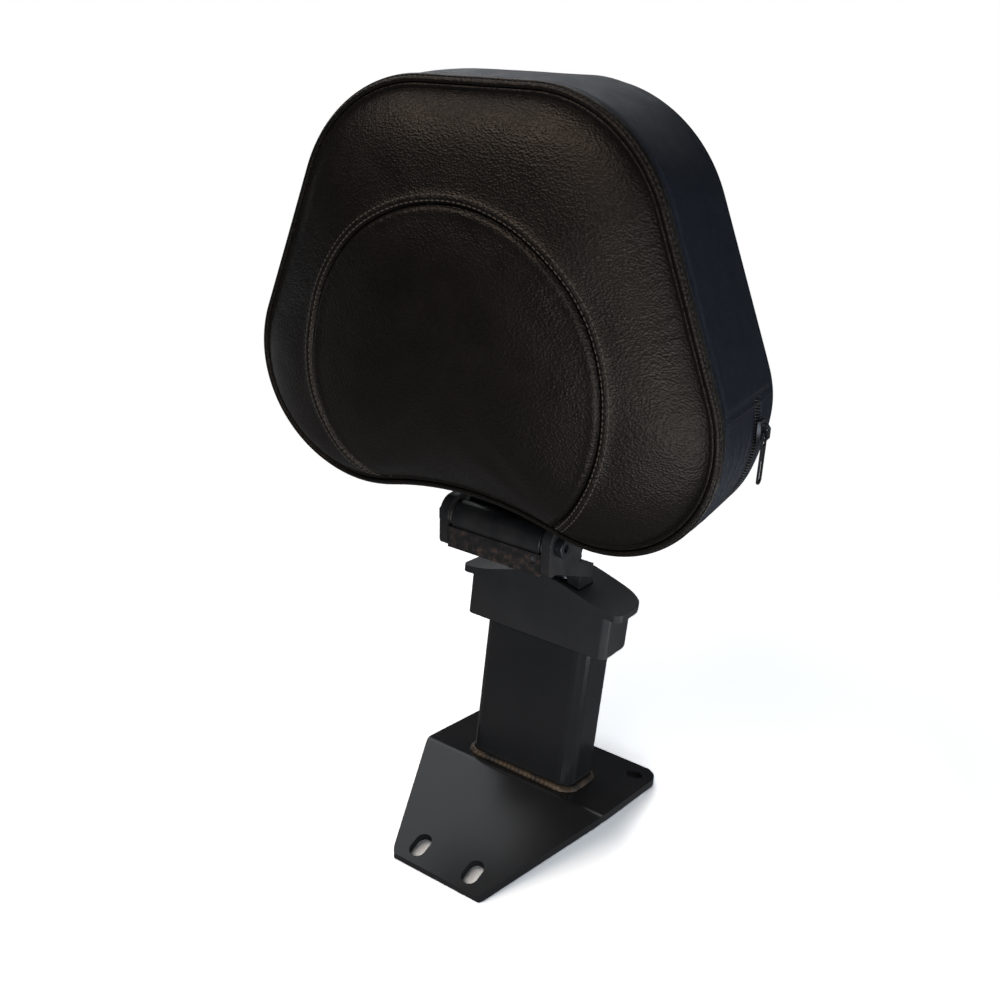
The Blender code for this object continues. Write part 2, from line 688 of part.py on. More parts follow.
def pad_outline(inset=0.0):
    """Outline of the pad, moved inwards by inset, with points on both sides of the cross seam."""
    corners = mirrored([(0.0, -PAD_ARCH_TOP, PAD_ARCH_ROUND),
                        (PAD_ARCH_FOOT, -PAD_ARCH_FOOT_BOTTOM, PAD_ARCH_FOOT_ROUND),
                        (PAD_HIP_HALF, -PAD_HIP_BOTTOM, PAD_HIP_ROUND),
                        (PAD_SHOULDER_HALF, PAD_TOP, PAD_SHOULDER_ROUND)])
    rounded = fillet_outline(corners, math.radians(10.0))
    plan = [Vector((point.x, point.y + PAD_CENTRE_Z)) for point in rounded]
    points = []
    for index, point in enumerate(plan):
        after = plan[(index + 1) % len(plan)]
        pieces = max(1, math.ceil((after - point).length / 0.034))
        shares = [piece / pieces for piece in range(pieces)]
        for level in (CROSS_SEAM_Z - GAP / 2.0, CROSS_SEAM_Z + GAP / 2.0):
            if min(point.y, after.y) < level < max(point.y, after.y):
                shares.append((level - point.y) / (after.y - point.y))
        points += [point.lerp(after, share) for share in sorted(shares)]
    if inset == 0.0:
        return points
    moved = []
    for index, point in enumerate(points):
        along = (points[(index + 1) % len(points)] - points[index - 1]).normalized()
        moved.append(point + Vector((-along.y, along.x)) * inset)
    return moved


def pad_ring(inset, depth):
    """Ring of points of the outline at one depth."""
    return [Vector((p.x, depth_y(p.x, depth), p.y)) for p in pad_outline(inset)]


def hip_centre():
    """Centre of the arc at the pad's lower right corner."""
    here = Vector((PAD_HIP_HALF, -PAD_HIP_BOTTOM))
    back = (Vector((PAD_ARCH_FOOT, -PAD_ARCH_FOOT_BOTTOM)) - here).normalized()
    ahead = (Vector((PAD_SHOULDER_HALF, PAD_TOP)) - here).normalized()
    centre = here + (back + ahead).normalized() * (PAD_HIP_ROUND / math.sin(back.angle(ahead) / 2.0))
    return centre + Vector((0.0, PAD_CENTRE_Z))


PANEL_EDGE = 2.0 * WELT_RADIUS - WELT_PROUD + GAP
SEAM_CENTRE = Vector((0.0, PAD_CENTRE_Z - SEAM_DROP))


def crown(share):
    """Height of the cushioned front above its edge, from 1 at the outline to 0 in the middle."""
    return CROWN_HEIGHT * max(0.0, 1.0 - share ** CROWN_POWER) ** CROWN_FULLNESS


def front_surface(edge, distance, depth):
    """Point on the crowned front along the spoke to a point of the panels' edge, depth below the surface."""
    reach = (edge - SEAM_CENTRE).length
    spot = SEAM_CENTRE + (edge - SEAM_CENTRE) * (distance / reach)
    dip = SEAM_VALLEY * max(0.0, 1.0 - abs(distance - SEAM_RADIUS) / SEAM_VALLEY_WIDTH) ** 2
    y = -PAD_FRONT - crown(distance / (reach + 0.1 * PANEL_EDGE)) + dip + depth - bow(spot.x)
    return Vector((spot.x, y, spot.y))


def build_arch_panel(finish, parent):
    """Inner panel of the front: a disc cut off at the bottom edge of the pad."""
    outline = pad_outline(PANEL_EDGE)
    shares = (0.30, 0.60, 0.80, 0.92, 1.0)

    def limit(edge):
        return min(SEAM_RADIUS - GAP, (edge - SEAM_CENTRE).length)

    outer = [[front_surface(edge, share * limit(edge), 0.0) for edge in outline] for share in shares]
    inner = [[front_surface(edge, share * limit(edge), COVER_THICK) for edge in outline]
             for share in (1.0, 0.93, 0.80, 0.50)]
    centre = outline[0]
    rings = [[front_surface(centre, 0.0, 0.0)], *outer, *inner, [front_surface(centre, 0.0, COVER_THICK)]]
    return skin("arch_panel", rings, finish, parent)


def strip(name, spokes, finish, parent):
    """Closed band from a list of section loops, one for each spoke, with its two ends closed."""
    bm = bmesh.new()
    made = [[bm.verts.new(point) for point in loop] for loop in spokes]
    for low, high in zip(made, made[1:]):
        for index in range(len(low)):
            after = (index + 1) % len(low)
            bm.faces.new((low[index], low[after], high[after], high[index]))
    bm.faces.new(made[0])
    bm.faces.new(made[-1])
    return add_object(name, bm, finish, parent)


def rotated_to(points, keep):
    """Points that satisfy keep, as one run in the outline's order."""
    flags = [keep(point) for point in points]
    start = next(index for index in range(len(points)) if flags[index] and not flags[index - 1])
    run = []
    for offset in range(len(points)):
        index = (start + offset) % len(points)
        if not flags[index]:
            break
        run.append(points[index])
    return run


def build_border_panel(finish, parent):
    """Outer panel of the front, a horseshoe round the arch panel."""
    narrowest = 0.004
    start = SEAM_RADIUS + GAP

    def end(edge):
        return (edge - SEAM_CENTRE).length

    run = rotated_to(pad_outline(PANEL_EDGE), lambda edge: end(edge) - start > narrowest)
    loops = []
    for edge in run:
        span = end(edge) - start
        outer = [front_surface(edge, start + span * share, 0.0)
                 for share in (0.0, 0.14, 0.35, 0.60, 0.82, 1.0)]
        inner = [front_surface(edge, start + span * share, COVER_THICK)
                 for share in (1.0, 0.92, 0.75, 0.35, 0.0)]
        loops.append(outer + inner)
    return strip("border_panel", loops, finish, parent)


def build_welt(finish, parent):
    """Rolled edge all round the front."""
    centre_inset = WELT_RADIUS - WELT_PROUD
    steps = 8
    rings = []
    for step in range(steps):
        angle = 2.0 * math.pi * step / steps + math.pi / steps
        inset = centre_inset - WELT_RADIUS * math.cos(angle)
        rings.append(pad_ring(inset, WELT_BACK + WELT_RADIUS * math.sin(angle)))
    return skin("front_welt", rings, finish, parent, looped=True)


GUSSET_FRONT = WELT_BACK + WELT_RADIUS + GAP
GUSSET_REAR = PAD_DEPTH - COVER_THICK - GAP


def band(name, keep, front, rear, thick, finish, parent, crest=0.0):
    """Band of cover round part of the edge, between two depths. Crest lifts its middle."""
    corners = [(0.0, front), (0.0, rear), (thick, rear), (thick, front)]
    if crest > 0.0:
        corners[1:1] = [(-crest, front + 0.25 * (rear - front)), (-crest, front + 0.75 * (rear - front))]
    rings = [pad_ring(inset, depth) for inset, depth in corners]
    kept = rotated_to(list(range(len(rings[0]))), lambda index: keep(pad_outline()[index]))
    return strip(name, [[ring[index] for ring in rings] for index in kept], finish, parent)


def build_gussets(smooth, zip_finish, parent):
    """Side band above the cross seams; below them a strip each side of the zip, and the zip."""
    half = ZIP_WIDTH / 2.0
    seam = CROSS_SEAM_Z

    def below(point):
        return point.y <= seam

    def above(point):
        return point.y > seam

    band("upper_gusset", above, GUSSET_FRONT, GUSSET_REAR, COVER_THICK, smooth, parent)
    band("lower_gusset_front", below, GUSSET_FRONT, ZIP_FROM_FRONT - half - GAP, COVER_THICK, smooth, parent)
    band("zip_chain", below, ZIP_FROM_FRONT - half, ZIP_FROM_FRONT + half, ZIP_THICK, zip_finish, parent,
         crest=ZIP_CREST)
    rear = band("lower_gusset_rear", below, ZIP_FROM_FRONT + half + GAP, GUSSET_REAR, COVER_THICK, smooth,
                parent)
    cut(rear, bracket_slot("bracket_slot_tool", parent))


def bracket_slot(name, parent):
    """Notch, open to the back, round the bracket plate where it enters the pad."""
    back = PAD_DEPTH
    front = bracket_face() - BRACKET_THICK - GAP
    half = BRACKET_HALF + GAP
    outline = [Vector((half, -BRACKET_TOP_Z)), Vector((half, BRACKET_TOP_Z)), Vector((-half, BRACKET_TOP_Z)),
               Vector((-half, -BRACKET_TOP_Z))]
    return prism(name, outline, front, back, local_front, None, parent)


def bracket_face():
    """Rear face of the bracket plate, just inside the rear panel."""
    return -PAD_FRONT + GUSSET_REAR


def board_rear():
    return bracket_face() - BRACKET_THICK - GAP


def board_front():
    return board_rear() - BOARD_THICK


def build_rear_panel(finish, parent):
    """Flat back of the cover, with its edge turned over a little."""
    inside = PAD_DEPTH - COVER_THICK
    rings = [pad_ring(0.004, PAD_DEPTH), pad_ring(0.0012, PAD_DEPTH - 0.0004),
             pad_ring(0.0, PAD_DEPTH - 0.0014), pad_ring(0.0, inside)]
    return skin("rear_panel", rings, finish, parent)


def build_foam(finish, parent):
    """Foam core: crowned front, full edge, and a rebate in the back for the board."""
    outline = pad_outline(PANEL_EDGE)
    under = COVER_THICK + 3.0 * GAP + SEAM_VALLEY

    def limit(edge):
        return (edge - SEAM_CENTRE).length - FOAM_STEP_IN

    def flat_ring(y):
        return [Vector((p.x, y, p.y)) for p in pad_outline(BOARD_INSET - GAP)]

    front = [[front_surface(edge, share * limit(edge), under) for edge in outline]
             for share in (0.45, 0.72, 0.90, 0.97, 1.0)]
    edge_inset = ZIP_THICK + GAP
    rings = [[front_surface(outline[0], 0.0, under)], *front,
             pad_ring(PANEL_EDGE + FOAM_STEP_IN, GUSSET_FRONT + GAP),
             pad_ring(edge_inset, GUSSET_FRONT + 2.0 * GAP),
             pad_ring(edge_inset, GUSSET_REAR - GAP), flat_ring(-PAD_FRONT + GUSSET_REAR - GAP),
             flat_ring(board_front() - GAP)]
    foam = skin("foam_core", rings, finish, parent)
    cut(foam, bracket_slot("foam_slot_tool", parent))
    return foam


def pad_screw_spots():
    return [(side * PAD_SCREW_SPREAD, row) for row in PAD_SCREW_ROWS for side in (-1.0, 1.0)]


def build_board(finish, parent):
    """Backing board with stepped holes for the tee nuts."""
    board = prism("backing_board", pad_outline(BOARD_INSET), board_front(), board_rear(), local_front, finish,
                  parent)
    for spot in pad_screw_spots():
        hole = prism("board_hole_tool", circle(TEE_NUT_BARREL / 2.0 + GAP, spot, 12), -PAD_FRONT, PAD_DEPTH,
                     local_front, None, parent)
        cut(board, hole)
        seat = prism("board_seat_tool", circle(TEE_NUT_FLANGE / 2.0 + GAP, spot, 12), -PAD_FRONT,
                     board_front() + TEE_NUT_FLANGE_THICK + GAP, local_front, None, parent)
        cut(board, seat)
    return board


def build_bracket(finish, parent):
    """Bent plate: a leg that meets the barrel square, and a flat part up the back of the board."""
    face = bracket_face()
    middle = face - BRACKET_THICK / 2.0
    elbow = Vector((middle, BRACKET_BEND_Z))
    leg = elbow.normalized()
    start = leg * (BARREL_DIAMETER / 2.0 + GAP)
    side = Vector((leg.y, -leg.x)) * (BRACKET_THICK / 2.0)
    half_turn = leg.angle(Vector((0.0, 1.0))) / 2.0
    mitre = BRACKET_THICK / 2.0 * math.tan(half_turn)
    section = [start + side, Vector((face, BRACKET_BEND_Z - mitre)), Vector((face, BRACKET_TOP_Z)),
               Vector((face - BRACKET_THICK, BRACKET_TOP_Z)),
               Vector((face - BRACKET_THICK, BRACKET_BEND_Z + mitre)), start - side]
    bracket = prism("pad_bracket", section, -BRACKET_HALF, BRACKET_HALF, local_side, finish, parent)
    plan = mirrored([(BRACKET_HALF, -BRACKET_TOP_Z, 0.0), (BRACKET_HALF, BRACKET_TOP_Z, BRACKET_TOP_ROUND)])
    shape = prism("bracket_shape_tool", fillet_outline(plan), -PAD_DEPTH, PAD_DEPTH, local_front, None,
                  parent)
    cut(bracket, shape, "INTERSECT")
    for spot in pad_screw_spots():
        head = PAD_SCREW_HEAD / 2.0 + 2.5 * GAP
        shank = PAD_SCREW_DIAMETER / 2.0 + GAP
        rings = [[local_front(p.x, p.y, y) for p in circle(radius, spot, 16)]
                 for y, radius in ((face - BRACKET_THICK - 0.001, shank), (face - (head - shank), shank),
                                   (face, head), (face + 0.001, head))]
        cut(bracket, skin("countersink_tool", rings, None, parent))
    return bracket


def build_pad_fasteners(zinc, parent):
    """Countersunk screws through the bracket into tee nuts in the board."""
    face = bracket_face()
    head = PAD_SCREW_HEAD / 2.0
    shank = PAD_SCREW_DIAMETER / 2.0
    for number, spot in enumerate(pad_screw_spots(), start=1):
        def along(profile, name, looped):
            rings = [[local_front(p.x, p.y, y) for p in circle(radius, spot, 12)] for y, radius in profile]
            return skin(name, rings, zinc, parent, looped=looped)

        front = board_front()
        screw = along([(front + 0.001, shank), (face - GAP - (head - shank), shank), (face - GAP, head)],
                      "pad_screw_%d" % number, False)
        cross = prism("screw_socket_tool", circle(0.0018, spot, 6), face - 0.002, face + 0.001, local_front,
                      None, parent)
        cut(screw, cross)
        bore = shank + GAP
        along([(front + GAP, bore), (front + GAP, TEE_NUT_FLANGE / 2.0),
               (front + TEE_NUT_FLANGE_THICK, TEE_NUT_FLANGE / 2.0),
               (front + TEE_NUT_FLANGE_THICK, TEE_NUT_BARREL / 2.0),
               (front + BOARD_THICK - 0.001, TEE_NUT_BARREL / 2.0), (front + BOARD_THICK - 0.001, bore)],
              "tee_nut_%d" % number, True)


def build_barrel(finish, parent):
    """Turned tube that the bracket is welded to."""
    half = EAR_OUTER - EAR_THICK - 2.0 * GAP - BUSH_FLANGE_THICK
    outer, bore = BARREL_DIAMETER / 2.0, BARREL_BORE / 2.0
    chamfer = 0.0007
    profile = [(-half, bore), (-half, outer - chamfer), (-half + chamfer, outer), (half - chamfer, outer),
               (half, outer - chamfer), (half, bore)]
    return turned("hinge_barrel", profile, local_side, finish, parent)


def build_zip_slider(metal, pad, pad_angle=SLIDER_ANGLE):
    """Slider on the zip and its long pull, each on the axis it moves about."""
    centre = hip_centre()
    zip_y = depth_y(centre.x + PAD_HIP_ROUND * math.cos(pad_angle), ZIP_FROM_FRONT)
    corner = add_empty("zip_corner", (centre.x, zip_y, centre.y), pad)
    low = PAD_HIP_ROUND + ZIP_CREST + 2.0 * GAP
    half_turn = SLIDER_LENGTH / 2.0 / PAD_HIP_ROUND

    def spoke(angle, radius, y):
        return Vector((radius * math.cos(angle), y, radius * math.sin(angle)))

    loops = []
    steps = 8
    for step in range(steps + 1):
        share = 2.0 * step / steps - 1.0
        angle = pad_angle + half_turn * share
        half = SLIDER_WIDTH / 2.0 * (1.0 - 0.30 * share * share * (1.0 if share < 0.0 else 0.35))
        high = low + SLIDER_THICK * (1.0 - 0.35 * share * share)
        loops.append([spoke(angle, low, -half), spoke(angle, low, half), spoke(angle, high, 0.8 * half),
                      spoke(angle, high, -0.8 * half)])
    slider = strip("zip_slider", loops, metal, corner)
    bridge_rings = []
    top = low + SLIDER_THICK + BRIDGE_HEIGHT
    foot = low + SLIDER_THICK - 0.0006
    rise = half_turn * 0.62
    wire = BRIDGE_WIDTH / 2.0
    middle, crest = 0.5 * (foot + top), top - wire
    path = [(pad_angle - rise, foot), (pad_angle - rise, middle), (pad_angle - 0.6 * rise, crest),
            (pad_angle + 0.6 * rise, crest), (pad_angle + rise, middle), (pad_angle + rise, foot)]
    thickness = 0.0006
    for index, (angle, radius) in enumerate(path):
        before = path[max(0, index - 1)]
        after = path[min(len(path) - 1, index + 1)]
        run = Vector(((after[0] - before[0]) * radius, after[1] - before[1])).normalized()
        normal = Vector((-run.y, run.x))
        ring = []
        for across, out in ((-wire, -thickness), (wire, -thickness), (wire, thickness), (-wire, thickness)):
            ring.append(spoke(angle + normal.x * out / radius, radius + normal.y * out, across))
        bridge_rings.append(ring)
    bridge = skin("bridge_tool", bridge_rings, None, corner)
    cut(slider, bridge, "UNION")

    pin_radius = top - wire - thickness - PULL_WIRE / 2.0 - 2.0 * GAP
    pin_point = spoke(pad_angle, pin_radius, 0.0)
    pin = add_empty("pull_pin", pin_point, corner)
    outer = [(PULL_WIDTH / 2.0, 0.0), (PULL_WIDTH / 2.0, -PULL_LENGTH)]
    ends = fillet_outline([(outer[0][0], PULL_WIRE / 2.0, 0.0011), (-outer[0][0], PULL_WIRE / 2.0, 0.0011),
                           (-outer[1][0], -PULL_LENGTH, 0.0024), (outer[1][0], -PULL_LENGTH, 0.0024)],
                          math.radians(20.0))
    half_thick = PULL_THICK / 2.0

    def place_pull(u, v, w):
        return Vector((w, u, v))

    pull = prism("zip_pull", ends, -half_thick, half_thick, place_pull, metal, pin)
    eye_half = BRIDGE_WIDTH / 2.0 + 2.0 * GAP
    eye = fillet_outline([(eye_half, -PULL_WIRE / 2.0, 0.0004), (-eye_half, -PULL_WIRE / 2.0, 0.0004),
                          (-eye_half, -PULL_WIRE / 2.0 - 0.0060, 0.0008),
                          (eye_half, -PULL_WIRE / 2.0 - 0.0060, 0.0008)], math.radians(30.0))
    cut(pull, prism("eye_tool", eye, -PULL_THICK, PULL_THICK, place_pull, None, pin))
    window_half = PULL_WIDTH / 2.0 - PULL_WIRE
    high_end, low_end = -0.5 * PULL_LENGTH, -PULL_LENGTH + PULL_WIRE
    window = fillet_outline([(window_half, high_end, 0.0012), (-window_half, high_end, 0.0012),
                             (-window_half, low_end, 0.0012), (window_half, low_end, 0.0012)],
                            math.radians(30.0))
    cut(pull, prism("pull_window_tool", window, -PULL_THICK, PULL_THICK, place_pull, None, pin))


def build_pad():
    """Everything that turns about the pivot."""
    pad = add_empty("pad_hinge", (0.0, PIVOT_Y, PIVOT_Z), rotation_x=PAD_LEAN)
    build_barrel(FINISH["hinge"], pad)
    build_bracket(FINISH["steel"], pad)
    build_board(FINISH["board"], pad)
    build_pad_fasteners(FINISH["zinc"], pad)
    build_foam(FINISH["foam"], pad)
    build_border_panel(FINISH["leather"], pad)
    build_arch_panel(FINISH["leather"], pad)
    build_welt(FINISH["vinyl"], pad)
    build_gussets(FINISH["vinyl"], FINISH["zip"], pad)
    build_rear_panel(FINISH["vinyl"], pad)
    build_zip_slider(FINISH["slider"], pad)


clear_scene()
FINISH = {
    "steel": material("satin_steel", (0.085, 0.085, 0.088), 0.38, 0.6),
    "weld": material("weld", (0.12, 0.085, 0.055), 0.5, 0.7),
    "cap": material("moulded_cap", (0.075, 0.078, 0.085), 0.5, 0.0),
    "hinge": material("hinge_steel", (0.11, 0.11, 0.115), 0.4, 0.6),
    "zinc": material("zinc", (0.35, 0.35, 0.36), 0.35, 1.0),
    "bush": material("bush", (0.62, 0.60, 0.54), 0.3, 1.0),
    "leather": material("leather", (0.035, 0.030, 0.027), 0.45, 0.0),
    "vinyl": material("vinyl", (0.030, 0.033, 0.040), 0.42, 0.0),
    "foam": material("foam", (0.55, 0.53, 0.48), 0.95, 0.0),
    "board": material("board", (0.45, 0.33, 0.20), 0.7, 0.0),
    "zip": material("zip", (0.02, 0.02, 0.022), 0.55, 0.0),
    "slider": material("slider", (0.10, 0.10, 0.11), 0.35, 0.8),
}
build_base_plate(FINISH["steel"])
build_post(FINISH["steel"], FINISH["weld"])
build_cap(FINISH["cap"])
build_web_and_neck(FINISH["hinge"])
build_ears(FINISH["hinge"])
build_saddle(FINISH["hinge"], FINISH["zinc"])
build_pivot(FINISH["zinc"], FINISH["bush"])
build_pad()
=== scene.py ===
"""Looks of the motorcycle driver backrest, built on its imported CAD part.

All lengths are in metres. The pad's cover is worked out in the pad's own frame: x to the right, y backwards and z up
from the pivot. to_world() turns that frame into the shared one.
"""
import json
import math

import bmesh
import bpy
import numpy as np
from mathutils import Matrix, Vector


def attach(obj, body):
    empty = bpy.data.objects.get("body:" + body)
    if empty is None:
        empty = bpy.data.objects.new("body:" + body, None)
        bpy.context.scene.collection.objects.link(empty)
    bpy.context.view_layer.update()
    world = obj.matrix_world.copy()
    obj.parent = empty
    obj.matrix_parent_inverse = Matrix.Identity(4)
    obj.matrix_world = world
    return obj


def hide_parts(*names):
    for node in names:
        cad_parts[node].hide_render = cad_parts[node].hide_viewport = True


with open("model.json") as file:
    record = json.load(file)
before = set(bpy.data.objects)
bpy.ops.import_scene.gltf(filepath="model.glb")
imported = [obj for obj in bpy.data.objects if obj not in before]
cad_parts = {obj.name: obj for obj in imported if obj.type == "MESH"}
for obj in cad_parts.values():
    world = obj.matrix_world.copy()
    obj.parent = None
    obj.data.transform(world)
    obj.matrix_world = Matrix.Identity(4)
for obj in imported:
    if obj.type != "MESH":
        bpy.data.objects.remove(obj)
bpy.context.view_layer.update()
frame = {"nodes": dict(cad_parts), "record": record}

# The pad, as in the part's source
PIVOT = Vector((0.0, -0.022, 0.222))
LEAN = math.radians(1.36)
FRONT = 0.0331                      # from the pivot forwards to the front edge
DEPTH = 0.0598                      # from the front edge back to the rear panel
CENTRE_Z = 0.1059
BOW = 1.272                         # radius of the front edge, seen from above
COVER = 0.002                       # thickness of leather and vinyl
GAP = 0.0003                        # between pieces that are sewn together

# Corners of the pad's outline: across, up from its centre, and the radius of the arc there
SHOULDER = (0.0853, 0.1440, 0.080)
HIP = (0.1865, -0.0981, 0.0695)
FOOT = (0.0592, -0.0798, 0.073)
ARCH = (0.0, -0.0644, 0.2155)
STEP = 0.0024                       # between two spokes, along the outline

# The crowned front and the round seam on it
CROWN_HEIGHT, CROWN_POWER, CROWN_FULLNESS = 0.0288, 2.64, 0.624
SEAM_R = 0.0900
SEAM_C = np.array((0.0, CENTRE_Z - 0.0015))
MEETS_EDGE = 0.0006                 # the seam runs out where it comes this near to the edge

# The rolled edge and the panels' lips over it
WELT_R = 0.0032
WELT_PROUD = 0.0008
WELT_BACK = 0.0010
PANEL_EDGE = 2.0 * WELT_R - WELT_PROUD + GAP
GUSSET_FRONT = WELT_BACK + WELT_R + GAP
GUSSET_REAR = DEPTH - COVER - GAP
SEAM_LEVEL = 0.0011                 # how far a panel's edge goes down into the round seam
LIP = [(0.0052, -0.0019), (0.0045, -0.00202), (0.0039, -0.00196), (0.00355, -0.00166), (0.00342, -0.0012),
       (0.0034, -0.00045)]          # inset from the outline and depth
LIP_UNDER = (0.0036, 0.00025)       # least inset and depth of a lip's underside
VALLEY, HEM = -43.0, 21.0           # degrees round the roll at which its two rows of stitches lie

# The cross seams, the zip and the notch for the pad bracket
CROSS_Z = 0.112
CROSS_GAP = 0.00008
ZIP_DEPTH = DEPTH - 0.0215
ZIP_HALF = 0.003
ZIP_THICK = 0.0026
TOOTH = 0.0016
NOTCH_HALF = 0.0303
NOTCH_FRONT = DEPTH - 0.0058
NOTCH_TOP = CENTRE_Z * 0.5

# Where the cover is drawn in behind the zip
DRAWN_IN = 0.0024
DRAWN_FROM = 0.043
DRAWN_Z = 0.080
DRAWN_SPREAD = 0.022

# Thread
STITCH = 0.0031
STITCH_FILLED = 0.8                 # share of a stitch's step that its thread takes

# The bent plate, the post on it and the weld round the post
PLATE = 0.006
LEG = 0.090
SLOPE = math.radians(13.6)
BEND_HEIGHT = LEG * math.sin(SLOPE) + PLATE * math.cos(SLOPE)
POST_LEAN = math.radians(7.6)
POST_Y = 0.0246
POST_X_HALF, POST_Y_HALF, POST_CORNER = 0.040, 0.020, 0.0095
BEAD_STEP = 0.0008
RIPPLE = 0.0034
BEAD = [(0.0003, 0.0003), (0.0041, 0.0003), (0.0040, 0.0009), (0.0034, 0.0019), (0.0025, 0.0029), (0.0014, 0.0037),
        (0.0003, 0.0041)]           # across the bead: out from the tube and up from the plate

# What the camera sees of the floor, and what the floor gives to the object
FLOOR_SEEN = (2.9, 2.9, 2.9, 1)
FLOOR_LIT = (0.26, 0.26, 0.27, 1)


# Meshes
def to_world(points):
    """Points of the pad's own frame in the shared frame."""
    p = np.asarray(points, float)
    c, s = math.cos(LEAN), math.sin(LEAN)
    y = PIVOT.y + c * p[..., 1] - s * p[..., 2]
    z = PIVOT.z + s * p[..., 1] + c * p[..., 2]
    return np.stack([p[..., 0], y, z], -1)


def in_scene(name, data):
    """New object of the scene that shows a mesh, a light or a camera."""
    ob = bpy.data.objects.new(name, data)
    bpy.context.scene.collection.objects.link(ob)
    return ob


def clean(mesh, merge=None, level=None):
    """Turn a mesh's faces outwards, after merging points nearer than merge and joining faces flatter than level."""
    bm = bmesh.new()
    bm.from_mesh(mesh)
    if merge is not None:
        bmesh.ops.remove_doubles(bm, verts=bm.verts[:], dist=merge)
    if level is not None:
        bmesh.ops.dissolve_limit(bm, angle_limit=level, verts=bm.verts[:], edges=bm.edges[:])
    bmesh.ops.recalc_face_normals(bm, faces=bm.faces[:])
    bm.to_mesh(mesh)
    bm.free()


def add_mesh(name, verts, faces, look, body="pad", flat_angle=None):
    """Piece of the scene, smooth but for the edges that are sharper than flat_angle."""
    mesh = bpy.data.meshes.new(name)
    mesh.from_pydata([tuple(map(float, v)) for v in verts], [], [tuple(map(int, f)) for f in faces])
    mesh.validate()
    clean(mesh)
    mesh.shade_smooth()
    if flat_angle is not None:
        mesh.set_sharp_from_angle(angle=math.radians(flat_angle))
    ob = in_scene(name, mesh)
    mesh.materials.append(LOOKS[look])
    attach(ob, body)
    return ob


def grid_faces(rows, cols, wrap_rows=False, wrap_cols=False, first=0):
    """Faces of a grid of points, closed round its rows or its columns, with the index of its first point."""
    faces = []
    for i in range(rows if wrap_rows else rows - 1):
        a, b = first + i * cols, first + (i + 1) % rows * cols
        for j in range(cols if wrap_cols else cols - 1):
            c, d = j, (j + 1) % cols
            faces.append((a + c, b + c, b + d, a + d))
    return faces


def double_faces(rows, cols, wrap=False):
    """Faces of an outer grid and, turned round, of an inner one with as many rows and columns."""
    inner = grid_faces(rows, cols, wrap_rows=wrap, first=rows * cols)
    return grid_faces(rows, cols, wrap_rows=wrap) + [face[::-1] for face in inner]


def wall_faces(rows, cols, col, wrap=False):
    """Faces that join an outer and an inner grid along one column."""
    n = rows * cols
    faces = []
    for i in range(rows if wrap else rows - 1):
        a, b = i * cols + col, (i + 1) % rows * cols + col
        face = (a, b, n + b, n + a)
        faces.append(face if col else face[::-1])
    return faces


def hub_faces(rows, cols, col):
    """Faces that close an outer and an inner round grid by a hub each, beside one column."""
    n = rows * cols
    faces = []
    for i in range(rows):
        a, b = i * cols + col, (i + 1) % rows * cols + col
        faces += [(a, 2 * n, b), (n + a, n + b, 2 * n + 1)]
    return faces


def tube_faces(rings, sides, first):
    """Faces of a closed tube of rings of points, with the index of its first point."""
    faces = []
    for ring in range(rings - 1):
        for k in range(sides):
            a, b = first + ring * sides + k, first + ring * sides + (k + 1) % sides
            faces.append((a, b, b + sides, a + sides))
    faces.append(tuple(first + k for k in reversed(range(sides))))
    faces.append(tuple(first + (rings - 1) * sides + k for k in range(sides)))
    return faces


def solid_band(name, top, low, slot, flat_angle):
    """Closed piece from an outer and an inner grid of points."""
    rows, cols = top.shape[:2]
    n = rows * cols
    faces = double_faces(rows, cols) + wall_faces(rows, cols, 0) + wall_faces(rows, cols, cols - 1)
    for i in (0, rows - 1):
        for j in range(cols - 1):
            a = i * cols + j
            face = (a, a + 1, n + a + 1, n + a)
            faces.append(face if i else face[::-1])
    verts = np.concatenate([top.reshape(-1, 3), low.reshape(-1, 3)])
    return add_mesh(name, to_world(verts), faces, slot, flat_angle=flat_angle)


# Shapes that are used again and again
def hill(x, at, width):
    """Smooth rise to 1 at one place."""
    return np.exp(-((x - at) / width) ** 2)


def lump(points, seed, scale):
    """Smooth noise from a few sine waves, the same for every run."""
    waves, weaker, faster, level = 5, 0.8, 0.35, 2.2
    rng = np.random.RandomState(seed)
    p = np.asarray(points, float) / scale
    out = np.zeros(p.shape[:-1])
    for k in range(waves):
        direction = rng.normal(size=3)
        direction *= (0.8 + faster * k) / np.linalg.norm(direction)
        out += weaker ** k * np.sin(p @ direction * 2.0 * math.pi + rng.uniform(0, 6.28))
    return out / level


def even(loop, step):
    """Anticlockwise closed loop of points resampled to an even step, with its outward normals."""
    closed = np.vstack([loop, loop[:1]])
    apart = np.hypot(*np.diff(closed, axis=0).T) > 1e-7
    closed = closed[np.concatenate([[True], apart])]
    so_far = np.concatenate([[0], np.cumsum(np.hypot(*np.diff(closed, axis=0).T))])
    at = np.linspace(0, so_far[-1], round(so_far[-1] / step), endpoint=False)
    p = np.stack([np.interp(at, so_far, closed[:, k]) for k in (0, 1)], 1)
    t = np.roll(p, -1, 0) - np.roll(p, 1, 0)
    t /= np.hypot(*t.T)[:, None]
    return p, np.stack([t[:, 1], -t[:, 0]], 1)


def along_line(points, spacing):
    """Open line of points resampled to a spacing, with short steps along it."""
    ahead = 0.0005
    lengths = np.linalg.norm(np.diff(points, axis=0), axis=1)
    so_far = np.concatenate([[0], np.cumsum(lengths)])
    count = int(so_far[-1] / spacing)
    at = (np.arange(count) + 0.5) * so_far[-1] / count
    here, there = (np.stack([np.interp(spot, so_far, points[:, k]) for k in range(3)], 1)
                   for spot in (at, np.clip(at + ahead, 0, so_far[-1])))
    return here, there - here


